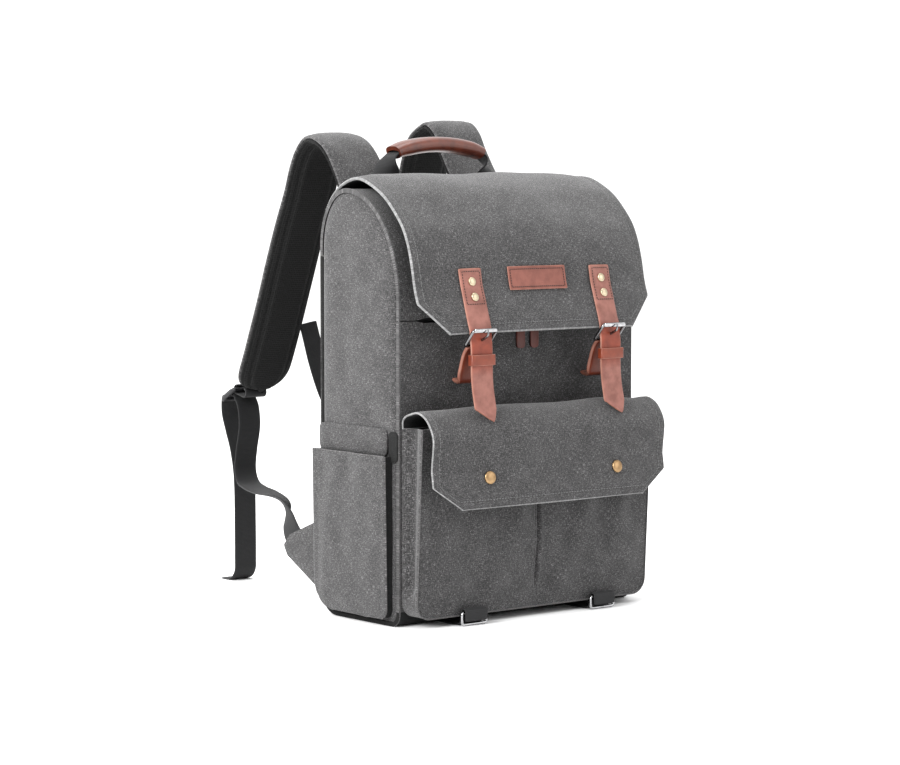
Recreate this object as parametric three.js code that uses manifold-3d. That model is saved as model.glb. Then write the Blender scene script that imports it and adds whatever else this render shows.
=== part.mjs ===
// Camera backpack: a canvas body with an arched top, a flap held by two leather buckle straps,
// a bellows front pocket, side pockets, a carry handle and a padded harness.
// Millimetres, +Z up, the front faces -Y, left is -X, and the bag stands on the floor at Z = 0.

import * as THREE from 'three';
import { mergeVertices } from 'three/addons/utils/BufferGeometryUtils.js';
import Module from 'manifold-3d';

const wasm = await Module();
wasm.setup();

// Driving dimensions
const GAP = 0.3;               // clearance between pieces that touch
const WALL = 4;                // padded canvas wall of the body

const BODY_WIDTH = 290;        // over the side panels
const BODY_DEPTH = 120;        // front face to back seam
const BODY_HEIGHT = 404;       // floor to the crown of the arch
const ARCH_FRONT_RISE = 104;   // front quarter of the arch
const ARCH_FRONT_DEPTH = 80.5;
const ARCH_BACK_RISE = 55;     // back quarter of the arch
const FRONT_CORNER = 12;       // rounding of the base at the front
const BACK_CORNER = 24;        // rounding of the base at the back
const BASE_LIP = 2;            // straight edge of the base above its rounding
const BACK_PANEL_DROP = 64;    // top of the padded back below the crown
const BACK_PAD_CROWN = 6;      // how far the padded back stands out at its middle

const ZIP_DROP = 17;           // middle of the zip below the start of the arch
const ZIP_SLIT = 5;            // open height between the panels
const ZIP_TAPE_HEIGHT = 20;
const ZIP_TAPE_THICK = 1.5;
const ZIP_LENGTH = 262;
const SLIDER_SIZE = 7;
const PULL_SPREAD = 17;        // between the two zip pulls
const PULL_OFFSET = 9;         // middle of the two pulls, to the right of the bag's middle
const PULL_WIDTH = 10;
const PULL_LENGTH = 26;
const PULL_THICK = 2.5;

const FLAP_WIDTH = 284;
const FLAP_THICK = 3;
const FLAP_STAND = 26;         // outer face off the body where the front of the arch begins
const FLAP_LIP_STAND = 35;     // outer face off the body at the lower edge
const FLAP_DROP = 28;          // lower edge below the start of the arch
const FLAP_EDGE_WIDTH = 226;   // lower edge between the cut corners
const FLAP_CROWN = 5;          // extra height along the middle

const LABEL_WIDTH = 70;
const LABEL_HEIGHT = 21.5;
const LABEL_RISE = 37;         // lower edge of the label above the flap's edge
const LEATHER = 2.2;           // thickness of strap leather
const LABEL_THICK = 1.2;

const STRAP_SPACING = 160;     // between the two closure straps
const STRAP_WIDTH = 24;
const STRAP_RISE = 57;         // top of the strap above the flap's edge
const STRAP_TAIL = 76;         // from the buckle down to the tip
const STRAP_TAIL_LIFT = 10;    // how far the tip stands in front of the buckle
const STRAP_POINT = 13;        // length of the pointed tip
const STRAP_TIP_SHARE = 0.08;  // width of the blunted tip
const STRAP_TIP_SHIFT = 0.6;   // how far the tip stands to the right, as a share of the narrowing
const STRAP_HOLE = 4;
const RIVET_RADIUS = 4;
const RIVET_DOME = 1.8;
const RIVET_PITCH = 15;
const RIVET_FIRST = 11.5;       // from the strap's end to the upper rivet
const BUCKLE_WIDTH = 31;
const BUCKLE_LENGTH = 22;
const BUCKLE_WIRE = 3;
const BUCKLE_TILT = 41;        // degrees, the roller stands forward
const BUCKLE_DROP = 6.3;       // buckle middle below the flap's edge
const PRONG_WIDTH = 3;
const PRONG_THICK = 2;
const KEEPER_DROP = 20;        // keeper below the buckle middle
const KEEPER_HEIGHT = 10;
const KEEPER_THICK = 2;
const KEEPER_SLACK = 0.6;      // between the strap's faces and the keeper
const ANCHOR_DROP = 36;        // lowest point of the anchor strap below the buckle's rear bar
const ANCHOR_THICK = 4;        // two layers of leather

const POCKET_WIDTH = 284;
const POCKET_BASE = 9;
const POCKET_TOP = 185;
const POCKET_DEPTH_TOP = 31;
const POCKET_DEPTH_BASE = 22;
const POCKET_CORNER = 15;
const POCKET_FOLD = 8;         // inward fold of the gusset
const CLOTH = 2;               // unpadded canvas
const POCKET_FLAP_WIDTH = 286;
const POCKET_FLAP_STAND = 52;  // lower edge off the body
const POCKET_FLAP_FOOT = 112;  // height of the lower edge
const POCKET_FLAP_CREST = 201.5;
const POCKET_FLAP_EDGE_WIDTH = 224;
const POCKET_FLAP_CROWN = 3;
const POCKET_FLAP_CUT = 0.16;  // share of its length over which the corners are cut
const SNAP_SPACING = 158;
const SNAP_HEIGHT = 139;
const SNAP_RADIUS = 6;
const SNAP_DOME = 2.4;

const SIDE_POCKET_WIDTH = 110;
const SIDE_POCKET_BASE = 7;
const SIDE_POCKET_TOP = 158;
const SIDE_POCKET_DEPTH = 10;
const SIDE_POCKET_CORNER = 10;       // lower corner at the front
const SIDE_POCKET_BACK_CORNER = 28;  // lower corner at the back
const SIDE_POCKET_TAPER = 0.8;       // depth at the bottom as a share of the depth at the top
const BAND_HEIGHT = 25;
const BAND_THICK = 2.5;
const BAND_LENGTH = 104;

const HANDLE_SPREAD = 125;     // between the sewn ends
const HANDLE_FOOT_DROP = 35;   // sewn ends below the crown
const HANDLE_RISE = 42;        // middle of the webbing above the crown
const HANDLE_LEAN = 6;         // how far the handle leans back
const HANDLE_FOOT_WIDTH = 38;
const HANDLE_WIDTH = 17;
const WEB_THICK = 1.6;
const GRIP_WIDTH = 25;
const GRIP_THICK = 13;
const GRIP_SHARE = 0.46;       // share of the webbing's length that the grip covers

const SHOULDER_SPACING = 160;
const SHOULDER_WIDTH = 58;
const SHOULDER_REACH = 198;    // lower end behind the back seam
const SHOULDER_RISE = 53;      // top of the shoulder strap above the bag's crown
const COVER_THICK = 3.5;
const PAD_THICK = 9.5;
const SHOULDER_END = 26;       // length of the rounded lower end
const COVER_EASE = 0.35;       // thinning of the cover towards its edges
const PAD_EASE = 0.5;          // thinning of the pad towards its edges
const HARNESS_WEB = 25;        // width of the webbing

const ADJUSTER_WIDTH = 36;
const ADJUSTER_LENGTH = 27;
const ADJUSTER_THICK = 5;
const ADJUSTER_BAR = 4;
const ADJUSTER_TILT = -30;     // degrees below level, pointing back
const ADJUSTER_OFFSET = 5;     // outwards from the middle of the shoulder strap

const LOOP_REACH = 12;         // from the shoulder strap's end to the ladder buckle's top bar
const LOOP_LIFT = 3;
const TAIL_ON_FLOOR = 24;      // length of the free tail that lies on the floor

const WING_ROOT = 80;          // height of the wing tab along the back seam
const WING_LENGTH = 72;
const WING_FOOT = 12;
const WING_THICK = 3;
const WING_INSET = 10;         // from the bag's side

const STERNUM_WIDTH = 20;
const STERNUM_BUCKLE_WIDTH = 30;
const STERNUM_BUCKLE_HEIGHT = 24;
const STERNUM_BUCKLE_THICK = 9;

const BASE_STRAP_SPACING = 160;
const BASE_BUCKLE_WIDTH = 32;
const BASE_BUCKLE_HEIGHT = 14;
const BASE_BUCKLE_WIRE = 2.8;
const BASE_BUCKLE_STAND = 30;  // in front of the body
const QUARTER = 90;            // degrees in a quarter turn

// Places worked out from the driving dimensions
const FRONT = -BODY_DEPTH / 2;
const BACK = BODY_DEPTH / 2;
const CROWN_Y = FRONT + ARCH_FRONT_DEPTH;
const ARCH_BACK_DEPTH = BACK - CROWN_Y;
const FRONT_SPRING = BODY_HEIGHT - ARCH_FRONT_RISE;
const BACK_SPRING = BODY_HEIGHT - ARCH_BACK_RISE;
const ADJUSTER_X = SHOULDER_SPACING / 2 + ADJUSTER_OFFSET;
const WING_X = BODY_WIDTH / 2 - WING_INSET;
const BACK_PANEL_TOP = BODY_HEIGHT - BACK_PANEL_DROP;
const ZIP_HEIGHT = FRONT_SPRING - ZIP_DROP;
const SHOULDER_CREST = BODY_HEIGHT + SHOULDER_RISE;
const ZIP_LOW = ZIP_HEIGHT - ZIP_SLIT / 2;
const ZIP_HIGH = ZIP_HEIGHT + ZIP_SLIT / 2;

// Materials
function finish(color, roughness, metalness = 0) {
  return new THREE.MeshStandardMaterial({ color, roughness, metalness });
}

const canvas = finish(0x6b6a6c, 0.9);
const leather = finish(0xa3583a, 0.55);
const blackCanvas = finish(0x1c1c1e, 0.9);
const blackWeb = finish(0x19191b, 0.75);
const blackMesh = finish(0x141415, 0.95);
const blackPlastic = finish(0x121213, 0.4);
const brass = finish(0xa98b52, 0.35, 1);
const steel = finish(0xb4b4b2, 0.3, 1);

const bag = new THREE.Group();

function add(name, geometry, material) {
  const mesh = new THREE.Mesh(geometry, material);
  mesh.name = name;
  bag.add(mesh);
  return mesh;
}

// A closed mesh from points and quads, turned so that its faces point out.
function closedBody(points, quads) {
  const index = [];
  for (const [a, b, c, d] of quads) {
    index.push(a, b, c, a, c, d);
  }
  const geometry = new THREE.BufferGeometry();
  const places = points.flatMap((p) => p.toArray());
  geometry.setAttribute('position', new THREE.Float32BufferAttribute(places, 3));
  let volume = 0;
  for (let i = 0; i < index.length; i += 3) {
    const [a, b, c] = index.slice(i, i + 3).map((k) => points[k]);
    volume += a.dot(b.clone().cross(c));
  }
  geometry.setIndex(volume < 0 ? index.reverse() : index);
  geometry.computeVertexNormals();
  return geometry;
}

// A sheet with thickness: two grids of points, face and lining, joined along their rims.
function sheet(face, lining) {
  const rows = face.length;
  const cols = face[0].length;
  const points = [...face.flat(), ...lining.flat()];
  const far = rows * cols;
  const at = (i, j) => i * cols + j;
  const quads = [];
  for (let i = 0; i < rows - 1; i++) {
    for (let j = 0; j < cols - 1; j++) {
      const cell = [at(i, j), at(i + 1, j), at(i + 1, j + 1), at(i, j + 1)];
      quads.push(cell, cell.map((k) => k + far).reverse());
    }
  }
  const rim = [];
  for (let j = 0; j < cols - 1; j++) rim.push(at(0, j));
  for (let i = 0; i < rows - 1; i++) rim.push(at(i, cols - 1));
  for (let j = cols - 1; j > 0; j--) rim.push(at(rows - 1, j));
  for (let i = rows - 1; i > 0; i--) rim.push(at(i, 0));
  rim.forEach((a, k) => {
    const b = rim[(k + 1) % rim.length];
    quads.push([a, b, b + far, a + far]);
  });
  return closedBody(points, quads);
}

// Rings of points skinned into a tube, with an optional bore of matching rings.
function tube(outer, bore) {
  const rows = outer.length;
  const sides = outer[0].length;
  const points = [...outer.flat(), ...bore.flat()];
  const far = rows * sides;
  const quads = [];
  for (let i = 0; i < rows - 1; i++) {
    for (let j = 0; j < sides; j++) {
      const k = (j + 1) % sides;
      const cell = [i * sides + j, (i + 1) * sides + j, (i + 1) * sides + k, i * sides + k];
      quads.push(cell, cell.map((n) => n + far).reverse());
    }
  }
  for (const row of [0, rows - 1]) {
    for (let j = 0; j < sides; j++) {
      const a = row * sides + j;
      const b = row * sides + ((j + 1) % sides);
      const cell = [a, b, b + far, a + far];
      quads.push(row === 0 ? cell : cell.reverse());
    }
  }
  return closedBody(points, quads);
}

// Unit normals along a line of [y, z] points, on the left of its direction.
function normalsOf(line) {
  return line.map((point, i) => {
    const before = line[Math.max(i - 1, 0)];
    const after = line[Math.min(i + 1, line.length - 1)];
    const along = after.clone().sub(before).normalize();
    return new THREE.Vector2(-along.y, along.x);
  });
}

// The line moved sideways by a distance, with mitred corners.
function offset(line, distance) {
  const edges = line.slice(1).map((p, i) => p.clone().sub(line[i]).normalize());
  return line.map((p, i) => {
    const a = edges[Math.max(i - 1, 0)];
    const b = edges[Math.min(i, edges.length - 1)];
    const mitre = new THREE.Vector2(-a.y - b.y, a.x + b.x).normalize();
    const scale = 1 / Math.max(0.5, -mitre.x * a.y + mitre.y * a.x);
    return p.clone().addScaledVector(mitre, distance * scale);
  });
}

function lengthOf(line) {
  return line.slice(1).reduce((sum, p, i) => sum + p.distanceTo(line[i]), 0);
}

// The share of the whole length at each point of a line.
function shares(line) {
  const whole = lengthOf(line);
  let sum = 0;
  return line.map((p, i) => {
    sum += i ? p.distanceTo(line[i - 1]) : 0;
    return sum / whole;
  });
}

// A smooth line of [y, z] points through a few chosen ones.
function smooth(points, count) {
  return new THREE.SplineCurve(points).getSpacedPoints(count);
}

// The part of a line between two shares of its length.
function stretch(line, from, to, count) {
  const share = shares(line);
  const pick = (s) => {
    let i = 1;
    while (i < share.length - 1 && share[i] < s) i++;
    const mix = (s - share[i - 1]) / (share[i] - share[i - 1]);
    return line[i - 1].clone().lerp(line[i], mix);
  };
  return Array.from({ length: count + 1 }, (_, k) => pick(from + ((to - from) * k) / count));
}

const point = (y, z) => new THREE.Vector2(y, z);

// A strip of sheet along a line in the YZ plane. The line is its outer face where rise is 0.
// halfWidth, shift, rise and thick may be numbers or functions of the share along and of x.
function strip(line, { centre = 0, halfWidth, shift = 0, thick, rise = 0, cols = 4 }) {
  const value = (f, t, x) => (typeof f === 'function' ? f(t, x) : f);
  const normals = normalsOf(line);
  const share = shares(line);
  const layer = (depth) => line.map((p, i) => {
    const half = value(halfWidth, share[i], 0);
    const middle = centre + value(shift, share[i], 0);
    return Array.from({ length: cols + 1 }, (_, j) => {
      const x = ((2 * j) / cols - 1) * half;
      const lift = value(rise, share[i], x) - depth * value(thick, share[i], x);
      return new THREE.Vector3(middle + x, p.x + normals[i].x * lift, p.y + normals[i].y * lift);
    });
  });
  return sheet(layer(0), layer(1));
}

// A flat shape drawn in the YZ plane and given its width along X, between x0 and x1.
function slab(shape, x0, x1, segments = 6) {
  const geometry = new THREE.ExtrudeGeometry(shape, {
    depth: x1 - x0, bevelEnabled: false, curveSegments: segments,
  });
  geometry.applyMatrix4(new THREE.Matrix4().makeBasis(
    new THREE.Vector3(0, 1, 0), new THREE.Vector3(0, 0, 1), new THREE.Vector3(1, 0, 0)));
  geometry.translate(x0, 0, 0);
  return geometry;
}

function roundedRect(width, height, radius) {
  const shape = new THREE.Shape();
  const w = width / 2;
  const h = height / 2;
  shape.moveTo(-w + radius, -h);
  shape.lineTo(w - radius, -h);
  shape.absarc(w - radius, -h + radius, radius, -Math.PI / 2, 0);
  shape.lineTo(w, h - radius);
  shape.absarc(w - radius, h - radius, radius, 0, Math.PI / 2);
  shape.lineTo(-w + radius, h);
  shape.absarc(-w + radius, h - radius, radius, Math.PI / 2, Math.PI);
  shape.lineTo(-w, -h + radius);
  shape.absarc(-w + radius, -h + radius, radius, Math.PI, 1.5 * Math.PI);
  return shape;
}

// A plate of a shape, centred on its thickness, with its X along the bag's X and its Y along a
// direction in the YZ plane.
function plate(shape, thick, centre, direction, x = 0, segments = 4) {
  const geometry = new THREE.ExtrudeGeometry(shape, {
    depth: thick, bevelEnabled: false, curveSegments: segments,
  });
  geometry.translate(0, 0, -thick / 2);
  const across = new THREE.Vector3(1, 0, 0);
  const up = new THREE.Vector3(0, direction.x, direction.y).normalize();
  geometry.applyMatrix4(new THREE.Matrix4().makeBasis(across, up, across.clone().cross(up)));
  geometry.translate(x, centre.x, centre.y);
  return geometry;
}

// A round boss along X through a point of the YZ plane.
function barAlongX(centre, radius, x, width, sides = 12) {
  const geometry = new THREE.CylinderGeometry(radius, radius, width, sides);
  geometry.rotateZ(Math.PI / 2);
  geometry.translate(x, centre.x, centre.y);
  return geometry;
}

// A low dome whose flat back lies on a surface, facing along a direction in the YZ plane.
function dome(radius, height, x, seat, normal) {
  const rim = height * 0.35;
  const profile = [point(0, 0), point(radius, 0), point(radius, rim),
    point(radius * 0.8, height * 0.82), point(radius * 0.42, height), point(0, height)];
  const geometry = new THREE.LatheGeometry(profile, 14);
  const up = new THREE.Vector3(0, normal.x, normal.y).normalize();
  geometry.applyQuaternion(new THREE.Quaternion().setFromUnitVectors(new THREE.Vector3(0, 1, 0), up));
  geometry.translate(x, seat.x, seat.y);
  return mergeVertices(stripped(geometry), 1e-4);
}

function stripped(geometry) {
  const plain = geometry.clone();
  plain.deleteAttribute('normal');
  plain.deleteAttribute('uv');
  return plain;
}

function toSolid(geometry) {
  const merged = mergeVertices(stripped(geometry), 1e-3);
  return new wasm.Manifold(new wasm.Mesh({
    numProp: 3,
    vertProperties: new Float32Array(merged.attributes.position.array),
    triVerts: new Uint32Array(merged.index.array),
  }));
}

function fromSolid(solid) {
  const mesh = solid.getMesh();
  const geometry = new THREE.BufferGeometry();
  geometry.setAttribute('position', new THREE.BufferAttribute(new Float32Array(mesh.vertProperties), 3));
  geometry.setIndex(Array.from(mesh.triVerts));
  geometry.computeVertexNormals();
  return geometry;
}

// One body from the joined pieces, less the cutters.
function carve(pieces, cutters) {
  let solid = toSolid(pieces[0]);
  for (const piece of pieces.slice(1)) solid = solid.add(toSolid(piece));
  for (const cutter of cutters) solid = solid.subtract(toSolid(cutter));
  return fromSolid(solid);
}

function block(width, depth, height, x, y, z) {
  const geometry = new THREE.BoxGeometry(width, depth, height);
  geometry.translate(x, y, z);
  return geometry;
}

// A ribbon of webbing through rows of { x, y, z, roll }. Roll turns its width round its own length,
// from the bag's X, or from across a facing direction if one is given. The width may change along it.
function ribbon(rows, width, thick, steps = 3, facing = null) {
  const curve = new THREE.CatmullRomCurve3(
    rows.map((row) => new THREE.Vector3(row.x, row.y, row.z)), false, 'centripetal');
  const count = (rows.length - 1) * steps;
  const face = [];
  const lining = [];
  for (let i = 0; i <= count; i++) {
    const t = i / count;
    const k = Math.min(Math.floor(t * (rows.length - 1)), rows.length - 2);
    const mix = t * (rows.length - 1) - k;
    const roll = THREE.MathUtils.degToRad(THREE.MathUtils.lerp(rows[k].roll, rows[k + 1].roll, mix));
    const half = (typeof width === 'function' ? width(t) : width) / 2;
    const along = curve.getTangent(t);
    const flat = facing ? facing.clone().cross(along) : new THREE.Vector3(1, 0, 0);
    flat.addScaledVector(along, -flat.dot(along)).normalize();
    const side = flat.clone().multiplyScalar(Math.cos(roll));
    side.addScaledVector(along.clone().cross(flat), Math.sin(roll));
    const normal = side.clone().cross(along).normalize();
    const p = curve.getPoint(t);
    const at = (across, out) => p.clone().addScaledVector(side, across).addScaledVector(normal, out);
    face.push([at(-half, thick / 2), at(half, thick / 2)]);
    lining.push([at(-half, -thick / 2), at(half, -thick / 2)]);
  }
  return sheet(face, lining);
}

// The body: front, top, back and base panels wrap round two side panels

// A point of the arch's outer face: turn is 0 degrees at the back, 180 at the front.
function archPoint(turn) {
  const a = THREE.MathUtils.degToRad(turn);
  const [depth, rise, spring] = turn > 90
    ? [ARCH_FRONT_DEPTH, ARCH_FRONT_RISE, FRONT_SPRING]
    : [ARCH_BACK_DEPTH, ARCH_BACK_RISE, BACK_SPRING];
  return {
    p: point(CROWN_Y + depth * Math.cos(a), spring + rise * Math.sin(a)),
    n: point(Math.cos(a) / depth, Math.sin(a) / rise).normalize(),
  };
}

function archLine(from, to, count) {
  return Array.from({ length: count + 1 }, (_, i) => archPoint(from + ((to - from) * i) / count).p);
}

// A quarter circle about a centre, from one angle to another in degrees.
function corner(y, z, radius, from, to, count = 5) {
  return Array.from({ length: count + 1 }, (_, i) => {
    const a = THREE.MathUtils.degToRad(from + ((to - from) * i) / count);
    return point(y + radius * Math.cos(a), z + radius * Math.sin(a));
  });
}

const topLine = [point(FRONT, ZIP_HIGH), ...archLine(180, 0, 20), point(BACK, BACK_PANEL_TOP + GAP)];
const baseFrontTop = FRONT_CORNER + BASE_LIP;
const baseBackTop = BACK_CORNER + BASE_LIP;
const baseLine = [
  point(BACK, baseBackTop),
  ...corner(BACK - BACK_CORNER, BACK_CORNER, BACK_CORNER, 0, -90),
  ...corner(FRONT + FRONT_CORNER, FRONT_CORNER, FRONT_CORNER, -90, -180),
  point(FRONT, baseFrontTop),
];

// How far the padded back stands out, at a share of its height and at x.
function padCrown(t, x) {
  return BACK_PAD_CROWN * (1 - (x / (BODY_WIDTH / 2)) ** 4) * (1 - (2 * t - 1) ** 6);
}

function bodyPanels() {
  const halfWidth = BODY_WIDTH / 2;
  add('front_panel', strip(
    [point(FRONT, baseFrontTop + GAP), point(FRONT, ZIP_LOW)],
    { halfWidth, thick: WALL }), canvas);
  add('top_panel', strip(topLine, { halfWidth, thick: WALL }), canvas);
  const backSpan = stretch([point(BACK, BACK_PANEL_TOP), point(BACK, baseBackTop + GAP)], 0, 1, 8);
  add('back_panel', strip(backSpan, {
    halfWidth, cols: 8, rise: padCrown, thick: (t, x) => WALL + padCrown(t, x),
  }), blackCanvas);

  const tray = strip(baseLine, { halfWidth, thick: WALL });
  const groove = WEB_THICK + GAP;
  const cutters = [-1, 1].map((side) => block(
    HARNESS_WEB + 2 * GAP, 2 * BODY_DEPTH, 2 * groove, (side * BASE_STRAP_SPACING) / 2, 0, 0));
  add('base_panel', carve([tray], cutters), blackCanvas);

  const rim = [...archLine(180, 0, 20), ...baseLine];
  const inside = offset([rim[rim.length - 1], ...rim, rim[0]], -(WALL + GAP)).slice(1, -1);
  for (const [side, name] of [[-1, 'left'], [1, 'right']]) {
    const outer = (side * BODY_WIDTH) / 2;
    const inner = outer - side * WALL;
    add(`side_panel_${name}`, slab(
      new THREE.Shape(inside), Math.min(outer, inner), Math.max(outer, inner)), canvas);
  }
}

// The zip across the front, under the edge of the flap
function frontZip() {
  const tapeY = FRONT + WALL + GAP + ZIP_TAPE_THICK / 2;
  add('zip_tape', block(ZIP_LENGTH, ZIP_TAPE_THICK, ZIP_TAPE_HEIGHT, 0, tapeY, ZIP_HEIGHT), blackWeb);
  const tapeFace = FRONT + WALL;
  const sliderFront = FRONT - GAP - PULL_THICK;
  for (const [side, name] of [[-1, 'left'], [1, 'right']]) {
    const x = PULL_OFFSET + (side * PULL_SPREAD) / 2;
    const sliderDepth = tapeFace - sliderFront;
    add(`zip_slider_${name}`, block(
      SLIDER_SIZE, sliderDepth, ZIP_SLIT - 2 * GAP, x, sliderFront + sliderDepth / 2, ZIP_HEIGHT), brass);
    const shape = roundedRect(PULL_WIDTH, PULL_LENGTH, PULL_WIDTH * 0.35);
    add(`zip_pull_${name}`, plate(
      shape, PULL_THICK, point(FRONT - GAP - PULL_THICK / 2, ZIP_LOW - PULL_LENGTH / 2), point(0, 1), x,
    ), leather);
  }
}

// The main flap, from its seam behind the crown to its lower edge
// turn is the place on the arch in degrees; stand is the share of FLAP_STAND.
const FLAP_ROUTE = [
  { turn: 38, stand: 0 },
  { turn: 56, stand: 0.01 },
  { turn: 77, stand: 0.1 },
  { turn: 94, stand: 0.31 },
  { turn: 103, stand: 0.43 },
  { turn: 116, stand: 0.49 },
  { turn: 128, stand: 0.6 },
  { turn: 143, stand: 0.75 },
  { turn: 153, stand: 0.79 },
  { turn: 163, stand: 0.78 },
  { turn: 173, stand: 0.82 },
  { turn: 180, stand: 1 },
];

const flapSeat = FLAP_THICK + GAP;
const flapLip = point(FRONT - FLAP_LIP_STAND, FRONT_SPRING - FLAP_DROP);
const flapLine = smooth([
  ...FLAP_ROUTE.map(({ turn, stand }) => {
    const { p, n } = archPoint(turn);
    return p.addScaledVector(n, flapSeat + stand * (FLAP_STAND - flapSeat));
  }),
  flapLip,
], 22).reverse();

const flapShares = shares(flapLine);
const flapHalf = FLAP_WIDTH / 2;

// The front of the flap narrows to its lower edge over the cut corners.
function flapHalfWidth(t) {
  const cut = flapShares[flapLine.findIndex((p) => p.y > FRONT_SPRING)];
  const share = Math.min(t / cut, 1);
  return THREE.MathUtils.lerp(FLAP_EDGE_WIDTH / 2, flapHalf, share);
}

function flapCrown(x) {
  return FLAP_CROWN * Math.max(0, 1 - (x / flapHalf) ** 2);
}

// The share of the flap's route at a height above its lower edge, on its front.
function flapShareAt(rise) {
  const z = flapLip.y + rise;
  const i = flapLine.findIndex((p) => p.y > z);
  const mix = (z - flapLine[i - 1].y) / (flapLine[i].y - flapLine[i - 1].y);
  return THREE.MathUtils.lerp(flapShares[i - 1], flapShares[i], mix);
}

// The flap's outer face at a height across the front, with what the crown adds at x.
function flapFace(z, x) {
  const i = flapLine.findIndex((p) => p.y > z);
  const a = flapLine[Math.max(i - 1, 0)];
  const b = flapLine[Math.max(i, 1)];
  const p = a.clone().lerp(b, (z - a.y) / (b.y - a.y));
  const along = b.clone().sub(a).normalize();
  const n = point(-along.y, along.x);
  return { p: p.addScaledVector(n, flapCrown(x)), n };
}

function mainFlap() {
  add('main_flap', strip(flapLine, {
    halfWidth: flapHalfWidth, thick: FLAP_THICK, cols: 10, rise: (t, x) => flapCrown(x),
  }), canvas);
  const labelLine = stretch(flapLine, flapShareAt(LABEL_RISE), flapShareAt(LABEL_RISE + LABEL_HEIGHT), 4);
  add('label', strip(labelLine, {
    halfWidth: LABEL_WIDTH / 2, thick: LABEL_THICK, cols: 4,
    rise: (t, x) => flapCrown(x) + GAP + LABEL_THICK,
  }), leather);
}

// The two closures: strap, rivets, buckle, keeper and the anchor strap that holds the buckle
// down is the share of STRAP_TAIL below the buckle; out is the share of STRAP_TAIL_LIFT.
const STRAP_ROUTE = [
  { down: 0.09, out: 0.1 },
  { down: 0.22, out: 0.13 },
  { down: 0.4, out: 0.15 },
  { down: 0.6, out: 0.28 },
  { down: 0.8, out: 0.6 },
  { down: 1, out: 1 },
];

// The anchor strap hangs in a loop from the front panel to the buckle's rear bar.
// out is the share of the way from the panel to the bar; up is the share of ANCHOR_DROP.
const ANCHOR_ROUTE = [
  { out: 0, up: 0.72 },
  { out: 0, up: 0.45 },
  { out: 0.1, up: 0.16 },
  { out: 0.38, up: 0 },
  { out: 0.72, up: 0.1 },
  { out: 0.9, up: 0.38 },
];

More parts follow.
